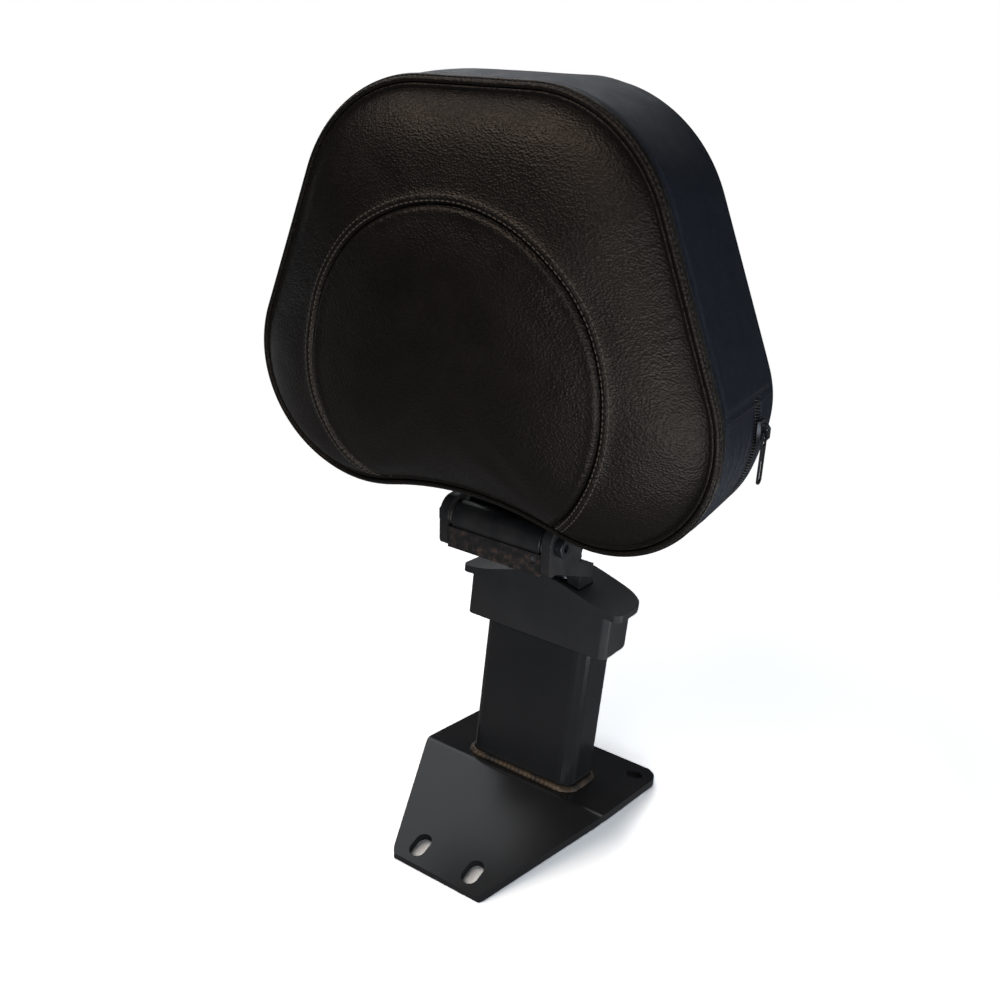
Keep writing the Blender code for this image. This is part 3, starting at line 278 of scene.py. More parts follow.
# Finishes
class Graph:
    """A tree of shader nodes, with short calls that add to it."""

    def __init__(self, owner):
        owner.use_nodes = True
        self.tree = owner.node_tree

    def node(self, kind, inputs=None, **settings):
        made = self.tree.nodes.new(kind)
        for name, value in settings.items():
            setattr(made, name, value)
        for name, value in (inputs or {}).items():
            made.inputs[name].default_value = value
        return made

    def link(self, a, b):
        self.tree.links.new(a, b)


class Look(Graph):
    """A Principled material with its textures."""

    def __init__(self, name, colour, rough, metal=0.0, spec=0.5):
        self.mat = bpy.data.materials.new(name)
        super().__init__(self.mat)
        self.bsdf = self.tree.nodes["Principled BSDF"]
        self.bsdf.inputs["Base Color"].default_value = (*colour, 1.0)
        self.bsdf.inputs["Roughness"].default_value = rough
        self.bsdf.inputs["Metallic"].default_value = metal
        self.bsdf.inputs["Specular IOR Level"].default_value = spec
        self.height = None

    def coords(self, stretch):
        where = self.node("ShaderNodeTexCoord")
        scaled = self.node("ShaderNodeMapping", {"Scale": stretch})
        self.link(where.outputs["Object"], scaled.inputs["Vector"])
        return scaled.outputs["Vector"]

    def noise(self, scale, detail=3.0, rough=0.5, stretch=(1.0, 1.0, 1.0)):
        made = self.node("ShaderNodeTexNoise", {"Scale": scale, "Detail": detail, "Roughness": rough})
        self.link(self.coords(stretch), made.inputs["Vector"])
        return made.outputs["Fac"]

    def cells(self, scale, smooth, stretch=(1.0, 1.0, 1.0), warp=0.0):
        """Distance inside soft cells, which a warp bends."""
        cell = self.node("ShaderNodeTexVoronoi", {"Scale": scale, "Smoothness": smooth}, feature="SMOOTH_F1")
        vector = self.coords(stretch)
        if warp > 0.0:
            bend = self.node("ShaderNodeTexNoise", {"Scale": scale * 0.6, "Detail": 1.0})
            moved = self.node("ShaderNodeVectorMath", {1: (warp, warp, warp)}, operation="MULTIPLY_ADD")
            self.link(vector, bend.inputs["Vector"])
            self.link(bend.outputs["Color"], moved.inputs[0])
            self.link(vector, moved.inputs[2])
            vector = moved.outputs[0]
        self.link(vector, cell.inputs["Vector"])
        return cell.outputs["Distance"]

    def colours(self, fac, *stops):
        """Base colour by a ramp of (place, colour) stops."""
        ramp = self.node("ShaderNodeValToRGB")
        elements = ramp.color_ramp.elements
        while len(elements) < len(stops):
            elements.new(0.5)
        for element, (place, colour) in zip(elements, stops):
            element.position = place
            element.color = (*colour, 1.0)
        self.link(fac, ramp.inputs["Fac"])
        self.link(ramp.outputs["Color"], self.bsdf.inputs["Base Color"])

    def rough(self, fac, low, high, smoothest, roughest):
        """Roughness that goes with a texture between two of its values."""
        spread = self.node("ShaderNodeMapRange", {"From Min": low, "From Max": high, "To Min": smoothest,
                                                  "To Max": roughest})
        self.link(fac, spread.inputs["Value"])
        self.link(spread.outputs["Result"], self.bsdf.inputs["Roughness"])

    def bump(self, fac, distance):
        """A relief on top of those that the material has."""
        relief = self.node("ShaderNodeBump", {"Strength": 1.0, "Distance": distance})
        self.link(fac, relief.inputs["Height"])
        if self.height is not None:
            self.link(self.height, relief.inputs["Normal"])
        self.height = relief.outputs["Normal"]
        self.link(self.height, self.bsdf.inputs["Normal"])


def make_leather():
    dark, light, rough = (0.0046, 0.0043, 0.0041), (0.0058, 0.0051, 0.0047), 0.43
    look = Look("pebbled_leather", dark, rough, spec=0.42)
    look.bsdf.inputs["Specular Tint"].default_value = (1.0, 0.82, 0.70, 1.0)
    look.colours(look.noise(26.0, 2.0), (0.30, tuple(c * 0.82 for c in dark)), (0.70, light))
    look.rough(look.noise(60.0), 0.3, 0.7, rough - 0.04, rough + 0.05)
    look.bump(look.cells(900.0, 0.25, (0.80, 1.0, 1.10), 0.0010), 0.00026)
    look.bump(look.noise(260.0, 2.0, stretch=(0.80, 1.0, 1.2)), 0.00004)
    return look.mat


def make_vinyl():
    look = Look("smooth_vinyl", (0.0055, 0.0082, 0.0165), 0.38, spec=0.44)
    look.bsdf.inputs["Specular Tint"].default_value = (0.80, 0.90, 1.0, 1.0)
    look.rough(look.noise(90.0), 0.3, 0.7, 0.36, 0.46)
    look.bump(look.cells(700.0, 0.4, warp=0.2), 0.00010)
    look.bump(look.noise(45.0, 2.0), 0.0004)
    return look.mat


def make_steel():
    look = Look("powder_coat", (0.020, 0.0205, 0.022), 0.27)
    look.colours(look.noise(14.0, 4.0), (0.3, (0.015, 0.0155, 0.017)), (0.72, (0.023, 0.0225, 0.023)))
    look.rough(look.noise(30.0, 2.0), 0.2, 0.8, 0.21, 0.27)
    look.bump(look.noise(900.0, 2.0), 0.00004)
    return look.mat


def make_hinge():
    look = Look("satin_black", (0.025, 0.025, 0.026), 0.40, spec=0.45)
    look.colours(look.noise(60.0, 4.0), (0.35, (0.018, 0.018, 0.019)), (0.75, (0.036, 0.034, 0.033)))
    look.rough(look.noise(120.0), 0.3, 0.7, 0.34, 0.48)
    look.bump(look.noise(800.0, 2.0), 0.00006)
    return look.mat


def make_saddle():
    look = Look("worn_bar", (0.06, 0.048, 0.040), 0.6, spec=0.4)
    look.colours(look.noise(150.0, 5.0, 0.6), (0.38, (0.010, 0.009, 0.009)), (0.52, (0.024, 0.020, 0.019)),
                 (0.68, (0.100, 0.060, 0.042)))
    look.bump(look.noise(420.0, 4.0), 0.00035)
    return look.mat


def make_weld():
    look = Look("weld_tint", (0.06, 0.045, 0.03), 0.42, 0.35)
    look.colours(look.noise(110.0, 4.0), (0.3, (0.022, 0.020, 0.020)), (0.55, (0.075, 0.050, 0.030)),
                 (0.8, (0.13, 0.095, 0.06)))
    look.bump(look.noise(500.0), 0.00025)
    return look.mat


def make_cap():
    look = Look("cap_grain", (0.035, 0.034, 0.035), 0.50, spec=0.45)
    look.colours(look.noise(30.0), (0.3, (0.030, 0.029, 0.030)), (0.7, (0.040, 0.039, 0.039)))
    look.bump(look.cells(1300.0, 0.5), 0.00010)
    look.bump(look.noise(300.0), 0.00008)
    return look.mat


def make_board():
    look = Look("plywood", (0.45, 0.33, 0.20), 0.7)
    look.colours(look.noise(20.0, 5.0, stretch=(1, 1, 12)), (0.3, (0.36, 0.25, 0.14)), (0.7, (0.52, 0.39, 0.24)))
    look.bump(look.noise(80.0, 4.0, stretch=(1, 1, 14)), 0.0003)
    return look.mat


def make_plain(name, colour, rough, metal, relief=0.00005, grain=300.0):
    """One colour with a little more and less of it, and a fine grain."""
    look = Look(name, colour, rough, metal)
    look.colours(look.noise(grain * 0.3), (0.3, tuple(c * 0.8 for c in colour)), (0.7, colour))
    look.bump(look.noise(grain), relief)
    return look.mat


# Looks by the record's slots, and a few more
LOOKS = {
    "leather": make_leather(),
    "vinyl": make_vinyl(),
    "satin_steel": make_steel(),
    "hinge_steel": make_hinge(),
    "worn_steel": make_saddle(),
    "weld": make_weld(),
    "moulded_cap": make_cap(),
    "zinc": make_plain("plated", (0.20, 0.20, 0.21), 0.36, 0.9),
    "black_screw": make_plain("black_screw", (0.035, 0.036, 0.040), 0.34, 0.5),
    "bush": make_plain("bare_bush", (0.62, 0.58, 0.50), 0.28, 1.0),
    "foam": make_plain("foam_cells", (0.55, 0.53, 0.48), 0.95, 0.0, 0.0008, 700.0),
    "board": make_board(),
    "zip": make_plain("zip_tape", (0.010, 0.0105, 0.012), 0.75, 0.0, 0.0002, 1500.0),
    "coil": make_plain("zip_coil", (0.022, 0.022, 0.024), 0.38, 0.0, 0.00003),
    "slider": make_plain("slider_enamel", (0.045, 0.047, 0.052), 0.32, 0.7),
    "thread": make_plain("brown_thread", (0.105, 0.080, 0.058), 0.62, 0.0, 0.00012, 2500.0),
    "dark_thread": make_plain("dark_thread", (0.040, 0.036, 0.034), 0.62, 0.0, 0.00012, 2500.0),
}
OWN_LOOK = {"saddle_block": "worn_steel", "pivot_bolt": "black_screw", "pivot_nut": "black_screw"}

slot_of = {entry["node"]: entry["material_slot"] for entry in frame["record"]["subparts"]}
body_of = {node: body for body, nodes in frame["record"]["behaviour"]["bodies"].items() for node in nodes}
for name, slot in slot_of.items():
    materials = frame["nodes"][name].data.materials
    materials.clear()
    materials.append(LOOKS[OWN_LOOK.get(name, slot)])


# Metal and moulded pieces with rounded edges
def softened(name, width, segments):
    """Copy of a CAD node with merged points and rounded edges, shown in its place."""
    mesh = frame["nodes"][name].data.copy()
    clean(mesh, merge=0.00002, level=math.radians(1.0))
    mesh.shade_smooth()
    ob = in_scene(name + "_edges", mesh)
    bevel = ob.modifiers.new("edge", "BEVEL")
    bevel.width = width
    bevel.segments = segments
    bevel.limit_method = "ANGLE"
    bevel.angle_limit = math.radians(28.0)
    bevel.use_clamp_overlap = True
    bevel.harden_normals = False
    depsgraph = bpy.context.evaluated_depsgraph_get()
    rounded = bpy.data.meshes.new_from_object(ob.evaluated_get(depsgraph))
    ob.modifiers.clear()
    ob.data = rounded
    rounded.name = name + "_edges"
    rounded.shade_smooth()
    rounded.set_sharp_from_angle(angle=math.radians(55.0))
    ob.modifiers.new("normals", "WEIGHTED_NORMAL").keep_sharp = True
    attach(ob, body_of[name])
    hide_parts(name)


for name, width, segments in (("base_plate", 0.0015, 4), ("left_ear", 0.0006, 2), ("right_ear", 0.0006, 2),
                              ("saddle_block", 0.0005, 2), ("hinge_web", 0.0006, 2), ("pivot_bolt", 0.0005, 2),
                              ("pivot_nut", 0.0005, 2), ("neck_block", 0.0006, 2), ("hinge_barrel", 0.0004, 2),
                              ("pad_bracket", 0.0005, 2), ("post_cap", 0.0013, 3), ("zip_slider", 0.0004, 2),
                              ("zip_pull", 0.00028, 2)):
    softened(name, width, segments)


# Weld bead round the post's foot, with its ripples
def post_point(u, v, w):
    """Point of the leaning post: u across, v from front to back and w up its axis."""
    c, s = math.cos(POST_LEAN), math.sin(POST_LEAN)
    return Vector((u, POST_Y + v * c + w * s, w * c - v * s))


def above_leg(u, v, height):
    """How far up the post's axis a point lies that is at a height above the plate's rear leg."""
    normal = Vector((0.0, math.sin(SLOPE), math.cos(SLOPE)))
    start = post_point(u, v, 0.0)
    axis = post_point(u, v, 1.0) - start
    level = Vector((0.0, height * math.sin(SLOPE), BEND_HEIGHT + height * math.cos(SLOPE)))
    return (level - start).dot(normal) / axis.dot(normal)


def round_box(x_half, y_half, radius, step):
    """Even points round a rounded rectangle, and their outward normals."""
    x, y = x_half - radius, y_half - radius
    points = []
    for cx, cy, start in ((x, -y, -90.0), (x, y, 0.0), (-x, y, 90.0), (-x, -y, 180.0)):
        for a in np.radians(np.linspace(start, start + 90.0, 25)):
            points.append((cx + radius * math.cos(a), cy + radius * math.sin(a)))
    return even(np.array(points), step)


def bead_points():
    """Rows of points across the bead, one for each step round the tube."""
    rows = []
    for k, (spot, normal) in enumerate(zip(*round_box(POST_X_HALF, POST_Y_HALF, POST_CORNER, BEAD_STEP))):
        along = k * BEAD_STEP
        ripple = 0.5 - 0.5 * math.cos(2.0 * math.pi * along / RIPPLE)
        wander = 0.10 * math.sin(along * 95.0) + 0.07 * math.sin(along * 231.0 + 1.0)
        row = []
        for m, (out, up) in enumerate(BEAD):
            if m > 0:
                out *= 0.90 - 0.10 * ripple + 0.6 * wander
            if m > 1:
                up = max(0.0004, up * (0.93 - 0.12 * ripple + 0.5 * wander))
            u, v = spot + normal * out
            row.append(post_point(u, v, above_leg(u, v, up)))
        rows.append(row)
    return np.array(rows)


bead = bead_points()
weld = add_mesh("weld_ripples", bead.reshape(-1, 3), grid_faces(*bead.shape[:2], True, True), "weld", "stand")
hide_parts("weld_bead")


# The pad's outline, its crowned front and its sides
def filleted(corners, arc=math.radians(2.0)):
    """Closed outline with an arc in each corner, given as across, up and radius."""
    out = []
    for i, (x, z, radius) in enumerate(corners):
        corner = np.array([x, z])
        back = np.array(corners[i - 1][:2]) - corner
        on = np.array(corners[(i + 1) % len(corners)][:2]) - corner
        back /= np.linalg.norm(back)
        on /= np.linalg.norm(on)
        opening = math.acos(back @ on)
        centre = corner + (back + on) / np.linalg.norm(back + on) * (radius / math.sin(opening / 2))
        arm = corner + back * (radius / math.tan(opening / 2)) - centre
        turn = math.pi - opening
        side = 1 if back[0] * on[1] - back[1] * on[0] < 0 else -1
        steps = max(2, math.ceil(turn / arc))
        for k in range(steps + 1):
            c, s = math.cos(side * turn * k / steps), math.sin(side * turn * k / steps)
            out.append(centre + [arm[0] * c - arm[1] * s, arm[0] * s + arm[1] * c])
    return np.array(out)


RIGHT = [FOOT, HIP, SHOULDER]
LEFT = [(-x, z, radius) for x, z, radius in reversed(RIGHT)]
EDGE, NORMAL = even(filleted([ARCH, *RIGHT, *LEFT]) + [0.0, CENTRE_Z], STEP)
EDGE_Z = EDGE[:, 1]
COUNT = len(EDGE)
ALONG = np.arange(COUNT) * STEP
OUTWARD = np.stack([NORMAL[:, 0], np.zeros(COUNT), NORMAL[:, 1]], -1)

# Spokes from the middle of the round seam to the front panels' edge
SPOKE = EDGE - NORMAL * PANEL_EDGE - SEAM_C
REACH = np.hypot(*SPOKE.T)
SPOKE = SPOKE / REACH[:, None]


def bow(x):
    return x * x / (2.0 * BOW)


def at_depth(x, depth):
    share = np.clip(depth / DEPTH, 0.0, 1.0)
    return -FRONT + depth - bow(x) * (1.0 - share)


def crown(share):
    return CROWN_HEIGHT * np.clip(1.0 - np.clip(share, 0, 1) ** CROWN_POWER, 0.0, 1.0) ** CROWN_FULLNESS


def front_at(dist):
    """Points of the crowned front at distances along the spokes, with one row of them for each spoke."""
    xz = SEAM_C + SPOKE[:, None, :] * dist[..., None]
    y = -FRONT - crown(dist / (REACH[:, None] + 0.1 * PANEL_EDGE)) - bow(xz[..., 0])
    return np.stack([xz[..., 0], y, xz[..., 1]], -1)


def side_at(inset, depth):
    """Points of the side, one on each spoke, inset from the outline at a depth behind the front edge."""
    xz = EDGE - NORMAL * np.reshape(inset + np.zeros(COUNT), (COUNT, 1))
    return np.stack([xz[:, 0], at_depth(xz[:, 0], depth), xz[:, 1]], -1)


def drawn_in(depth):
    """How far the cover is drawn in behind the zip, next to the closed end of its run."""
    back = np.clip((depth - DRAWN_FROM) / (DEPTH - DRAWN_FROM), 0.0, 1.0)
    return DRAWN_IN * back * back * (3.0 - 2.0 * back) * hill(EDGE_Z, DRAWN_Z, DRAWN_SPREAD)


def rows_between(values, low, high):
    """Places along the edge, with exact ends, where the values run from low to high."""
    inside = (values > low) & (values < high)
    first = next(i for i in range(COUNT) if inside[i] and not inside[i - 1])
    last = first + int(inside.sum()) - 1

    def crossing(a, b):
        va, vb = values[a % COUNT], values[b % COUNT]
        level = low if min(va, vb) < low else high
        return a + (level - va) / (vb - va)

    return np.array([crossing(first - 1, first), *range(first, last + 1), crossing(last, last + 1)])


def rows_at(grid, places):
    """Rows of a grid at places between its rows, round the closed edge."""
    low = np.floor(places).astype(int)
    part = (places - low).reshape((-1,) + (1,) * (grid.ndim - 1))
    return grid[low % COUNT] * (1.0 - part) + grid[(low + 1) % COUNT] * part


# The cover puffed up by a cloth run on a coarse copy of it, held at its seams
FRONT_STEPS, SIDE_STEPS, BACK_STEPS = 22, 12, 5
EVERY = 2                           # spokes to one row of the coarse cover
NEAR = slice(0, COUNT, EVERY)
CLOTH_FRAMES = 20
PUFF_MOST = 0.0024
FRONT_DIST = REACH[:, None] * np.linspace(0.0, 1.0, FRONT_STEPS)[1:]
SIDE_DEPTH = GUSSET_FRONT + (DEPTH - GUSSET_FRONT) * np.linspace(0.0, 1.0, SIDE_STEPS)


def coarse_cover():
    """Rows of points from the front's middle over the edge to the rear, and the middle points of both."""
    edge = side_at(WELT_R, -0.0015)[:, None]
    side = np.stack([side_at(0.0, depth) for depth in SIDE_DEPTH], 1)
    back = []
    for share in np.linspace(0.15, 0.95, BACK_STEPS):
        xz = SEAM_C + (EDGE - SEAM_C) * (1.0 - share)
        back.append(np.stack([xz[:, 0], np.full(COUNT, -FRONT + DEPTH), xz[:, 1]], -1))
    rows = np.concatenate([front_at(FRONT_DIST), edge, side, np.stack(back, 1)], 1)[NEAR]
    return rows, front_at(np.zeros((COUNT, 1)))[0, 0], np.array([0.0, -FRONT + DEPTH, SEAM_C[1]])


def held_shares():
    """How firmly each point of the coarse cover is held: at seams and edges, and all over the back."""
    gap = np.abs(FRONT_DIST - SEAM_R)
    front = np.where(gap < 0.003, 1.0, np.where(gap < 0.007, 0.35, 0.0))
    front[:, -1] = 1.0
    at_cross = np.abs(EDGE_Z - CROSS_Z) < 0.003
    at_zip = np.abs(SIDE_DEPTH - ZIP_DEPTH) < 0.004
    side = (at_cross[:, None] | (EDGE_Z < CROSS_Z)[:, None] & at_zip).astype(float)
    side[:, [0, -1]] = 1.0
    return np.concatenate([front, np.ones((COUNT, 1)), side, np.ones((COUNT, BACK_STEPS))], 1)[NEAR]


def relaxed(grid, times):
    """The grid with the small wrinkles that a coarse cloth leaves smoothed out."""
    for _ in range(times):
        grid = 0.5 * grid + 0.25 * (np.roll(grid, 1, 0) + np.roll(grid, -1, 0))
        inner = 0.5 * grid[:, 1:-1] + 0.25 * (grid[:, 2:] + grid[:, :-2])
        grid = np.concatenate([grid[:, :1], inner, grid[:, -1:]], 1)
    return grid


def stuffed():
    """How far the front, with its middle as a first column, and the side move when the stuffing presses them out."""
    cover, tip, end = coarse_cover()
    rows, cols = cover.shape[:2]
    verts = np.vstack([cover.reshape(-1, 3), tip, end])
    faces = grid_faces(rows, cols, wrap_rows=True)
    for i in range(rows):
        a, b = i * cols, (i + 1) % rows * cols
        faces.append((a, rows * cols, b))
        faces.append((a + cols - 1, b + cols - 1, rows * cols + 1))
    mesh = bpy.data.meshes.new("stuffing_run")
    mesh.from_pydata([tuple(v) for v in verts], [], faces)
    clean(mesh)
    ob = in_scene("stuffing_run", mesh)
    held = ob.vertex_groups.new(name="held")
    for index, share in enumerate([*held_shares().flat, 0.0, 1.0]):
        if share > 0.0:
            held.add([index], share, "REPLACE")
    cloth = ob.modifiers.new("stuffing", "CLOTH")
    settings = cloth.settings
    settings.quality = 6
    settings.mass = 0.25
    settings.tension_stiffness = 18
    settings.compression_stiffness = 18
    settings.shear_stiffness = 8
    settings.bending_stiffness = 2.5
    settings.use_pressure = True
    settings.uniform_pressure_force = 4.0
    settings.vertex_group_mass = held.name
    settings.shrink_min = -0.012
    settings.effector_weights.gravity = 0.0
    cloth.collision_settings.use_collision = False
    cloth.point_cache.frame_start = 1
    cloth.point_cache.frame_end = CLOTH_FRAMES
    scene = bpy.context.scene
    for number in range(1, CLOTH_FRAMES + 1):
        scene.frame_set(number)
    depsgraph = bpy.context.evaluated_depsgraph_get()
    moved = np.array([v.co[:] for v in ob.evaluated_get(depsgraph).data.vertices])
    scene.frame_set(1)
    bpy.data.objects.remove(ob, do_unlink=True)
    shift = moved - verts
    length = np.linalg.norm(shift, axis=1, keepdims=True)
    shift *= PUFF_MOST * np.tanh(length / PUFF_MOST) / np.maximum(length, 1e-9)
    grid = shift[:-2].reshape(rows, cols, 3)
    print("cloth moved the cover by up to %.2f mm" % (np.linalg.norm(grid, axis=2).max() * 1000.0))
    front = relaxed(grid[:, :FRONT_STEPS - 1], 10)
    side = relaxed(grid[:, FRONT_STEPS:FRONT_STEPS + SIDE_STEPS], 4)
    middle = np.broadcast_to(front[:, :1].mean(0), (rows, 1, 3))
    return np.concatenate([middle, front], 1), side


PUFF_FRONT, PUFF_SIDE = stuffed()


def between(grid, place, column):
    """Values between the rows of a grid, which go round, and between its columns."""
    rows, cols = grid.shape[:2]
    i = np.floor(place).astype(int)
    j = np.clip(np.floor(column).astype(int), 0, cols - 2)
    part = (column - j)[..., None]
    here = grid[i % rows, j] * (1 - part) + grid[i % rows, j + 1] * part
    there = grid[(i + 1) % rows, j] * (1 - part) + grid[(i + 1) % rows, j + 1] * part
    part = (place - i)[..., None]
    return here * (1 - part) + there * part


def puff_front(dist):
    """Cloth movement at distances along the spokes of the front."""
    place = np.arange(COUNT)[:, None] / EVERY + np.zeros_like(dist)
    return between(PUFF_FRONT, place, np.clip(dist / REACH[:, None], 0.0, 1.0) * (FRONT_STEPS - 1))


def puff_side(depth):
    """Cloth movement of the side at a depth, on each spoke."""
    share = np.clip((depth - GUSSET_FRONT) / (DEPTH - GUSSET_FRONT), 0, 1) + np.zeros(COUNT)
    return between(PUFF_SIDE, np.arange(COUNT) / EVERY, share * (SIDE_STEPS - 1))


# Softness of the front that the cloth is too coarse for: the seam's ridges, puckers and slow dents
def seam_relief(dist, along):
    """How far the front stands out (towards the driver) near the round seam."""
    gap = dist - SEAM_R
    groove = -0.0016 * hill(gap, 0.0, 0.0011)
    ridges = 0.00085 * hill(gap, 0.0032, 0.0022) + 0.0004 * hill(gap, -0.0030, 0.0022)
    pucker = 0.00016 * np.cos(2.0 * math.pi * along / 0.0062 + 1.5 * np.sin(along * 40.0))
    pucker = pucker * np.exp(-np.abs(gap) / 0.0055) * (1.0 - hill(gap, 0.0, 0.0015))
    return groove + ridges + pucker


def edge_relief(from_edge, along):
    """Puckers of the front beside the rolled edge."""
    pucker = 0.00022 * np.cos(2.0 * math.pi * along / 0.0085 + 1.3 * np.sin(along * 33.0))
    return pucker * np.exp(-from_edge / 0.007) * (1.0 - np.exp(-from_edge / 0.0015))


def front_surface(dist):
    """Finished front at distances along the spokes."""
    points = front_at(dist)
    from_edge = REACH[:, None] - dist
    along_seam = np.arctan2(SPOKE[:, 1], SPOKE[:, 0])[:, None] * SEAM_R
    dents = lump(points, 5, 0.085) * 0.00055 + lump(points, 9, 0.034) * 0.00014
    out = seam_relief(dist, along_seam) + edge_relief(from_edge, ALONG[:, None])
    out = out + dents * np.clip(from_edge / 0.012, 0.0, 1.0)
    points = points + puff_front(dist)
    points[..., 1] -= out
    return points


# Arch panel. Where it meets the edge it turns over the rolled edge, down to the stitched groove
over = np.stack([side_at(inset, depth) for inset, depth in LIP], 1)
under = np.stack([side_at(max(inset, LIP_UNDER[0]), LIP_UNDER[1]) for inset, _ in LIP], 1)
INSIDE_SEAM = SEAM_R - 0.0002
OUTSIDE_SEAM = SEAM_R + 0.0002
# Shares of the way from the middle to the seam, closer together towards the seam
ARCH_SHARES = np.concatenate([np.linspace(0.03, 0.90, 30), [0.915, 0.93, 0.944, 0.956, 0.966, 0.974, 0.981, 0.987,
                                                            0.992, 0.996, 1.0]])
top = front_surface(np.minimum(INSIDE_SEAM, REACH)[:, None] * ARCH_SHARES)
low = top + [0.0, COVER, 0.0]
at_edge = (REACH < SEAM_R + MEETS_EDGE)[:, None, None]
down = np.linspace(0.3, 1.0, len(LIP))[None, :, None] * [0.0, SEAM_LEVEL, 0.0]
top = np.concatenate([top, np.where(at_edge, over, top[:, -1:] + down)], 1)
low = np.concatenate([low, np.where(at_edge, under, low[:, -1:] - down * 0.2)], 1)
tip = front_surface(np.zeros((COUNT, 1)))[:, 0, :].mean(0)
rows, cols = top.shape[:2]
faces = double_faces(rows, cols, True) + hub_faces(rows, cols, 0) + wall_faces(rows, cols, cols - 1, True)
verts = np.vstack([top.reshape(-1, 3), low.reshape(-1, 3), tip, tip + [0.0, COVER, 0.0]])
arch = add_mesh("arch_panel_soft", to_world(verts), faces, "leather", flat_angle=60)
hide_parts("arch_panel")

# Border panel, from the round seam to the edge, where it turns over the rolled edge too
BORDER_SHARES = np.concatenate([[0.0, 0.0064, 0.0144, 0.024, 0.0352, 0.048, 0.064, 0.0832, 0.1056],
                                np.linspace(0.14, 0.90, 22), [0.925, 0.945, 0.962, 0.978, 0.990, 1.0]])
top = front_surface(OUTSIDE_SEAM + np.maximum(REACH - OUTSIDE_SEAM, 0.0)[:, None] * BORDER_SHARES)
low = top + [0.0, COVER, 0.0]
head = top[:, :1] + [0.0, SEAM_LEVEL, 0.0]
places = rows_between(REACH - SEAM_R, MEETS_EDGE, 1.0)
top = rows_at(np.concatenate([head, top, over], 1), places)
low = rows_at(np.concatenate([low[:, :1], low, under], 1), places)
border = solid_band("border_panel_soft", top, low, "leather", 60)
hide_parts("border_panel")


# Rolled edge: a narrow roll beside the groove, a stitched valley and a flat band, with a shelf under the leather
def round_roll(radius, angle):
    """Points at a radius from the middle of the rolled edge, at an angle round it that is 0 outwards."""
    radius = radius + np.zeros(COUNT)
    back = WELT_BACK + radius * math.sin(angle)
    return (side_at(WELT_R - WELT_PROUD - radius * math.cos(angle), 0.0)
            + np.stack([0 * radius, back, 0 * radius], -1))


def roll_radius(degrees):
    """Radius of the roll at an angle round it, pinched at every stitch."""
    if degrees < -102:
        return min(WELT_R, (0.0005 - WELT_BACK) / math.sin(math.radians(degrees)))
    pinch = 0.5 + 0.5 * np.cos(2.0 * math.pi * ALONG / STITCH)
    roll_up = 0.00034 * hill(degrees, -76.0, 17.0)
    valley = 0.00075 * hill(degrees, VALLEY, 6.5)
    hem = 0.00040 * hill(degrees, HEM, 6.0)
    return WELT_R + roll_up - valley * (0.75 + 0.35 * pinch) - hem * (0.6 + 0.5 * pinch)


ROLL_DEGREES = (-172, -158, -146, -135, -125, -117, -111, -106, -101, -96, -90, -84, -78, -72, -66, -60, -55, -51, -48,
                -45, -42, -39, -36, -32, -27, -20, -12, -3, 6, 15, 24, 32, 40, 50, 62, 76, 90, 108, 126, 144, 160, 175)
roll = np.stack([round_roll(roll_radius(degrees), math.radians(degrees)) for degrees in ROLL_DEGREES], 1)
welt = add_mesh("front_welt_soft", to_world(roll.reshape(-1, 3)), grid_faces(*roll.shape[:2], True, True),
                "leather")
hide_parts("front_welt")

# Side bands
ACROSS = np.concatenate([[0.0, 0.015, 0.04, 0.07], np.linspace(0.10, 0.90, 44), [0.93, 0.96, 0.985, 1.0]])
ABOVE = (CROSS_Z + CROSS_GAP, 1.0)
BELOW = (-1.0, CROSS_Z - CROSS_GAP)


def beside_notch(places):
    """The places and more of them, just off both corners of the notch, which makes these sharp."""
    off = 0.02
    x = np.abs(EDGE[:, 0])
    more = []
    for k in range(COUNT):
        a, b = x[k], x[(k + 1) % COUNT]
        if (a - NOTCH_HALF) * (b - NOTCH_HALF) < 0 and EDGE_Z[k] < NOTCH_TOP:
            at = k + (NOTCH_HALF - a) / (b - a)
            at += COUNT * round((places.mean() - at) / COUNT)
            more += [at - off, at + off]
    return np.sort(np.concatenate([places, more]))


def side_band(name, ends, front, rear, relief, slot="vinyl", thick=COVER, turn=0.0008, notch=False):
    """Soft band round the edge between two depths and two heights, turned in by turn at its seams."""
    places = rows_between(EDGE_Z, *ends)
    if notch:
        places = beside_notch(places)
    tops, lows = [], []
    for depth in front + (rear - front) * ACROSS:
        from_seam = min(depth - front, rear - depth)
        out = relief(depth) - turn * math.exp(-from_seam / 0.0007) - drawn_in(depth)
        tops.append(side_at(-out, depth) + puff_side(depth))
        lows.append(side_at(np.minimum(np.maximum(thick, thick * 0.2 - out), ZIP_THICK), depth))
    top, low = rows_at(np.stack(tops, 1), places), rows_at(np.stack(lows, 1), places)
    if notch:
        spots = rows_at(EDGE, places)
        inside = (np.abs(spots[:, 0]) < NOTCH_HALF) & (spots[:, 1] < NOTCH_TOP)
        for grid in (top, low):
            limit = -FRONT + NOTCH_FRONT - 0.0008 * (1.0 - ACROSS)
            grid[inside, :, 1] = np.minimum(grid[inside, :, 1], limit)
    return solid_band(name, top, low, slot, 50)


def cross_seam(side):
    """Seam between the upper and lower bands, with its ridge, on the side (1 above, -1 below) that is asked for."""
    off = (EDGE_Z - CROSS_Z) * side
    return -0.0005 * np.exp(-np.abs(off) / 0.0006) + 0.00045 * hill(off, 0.0030, 0.0020)


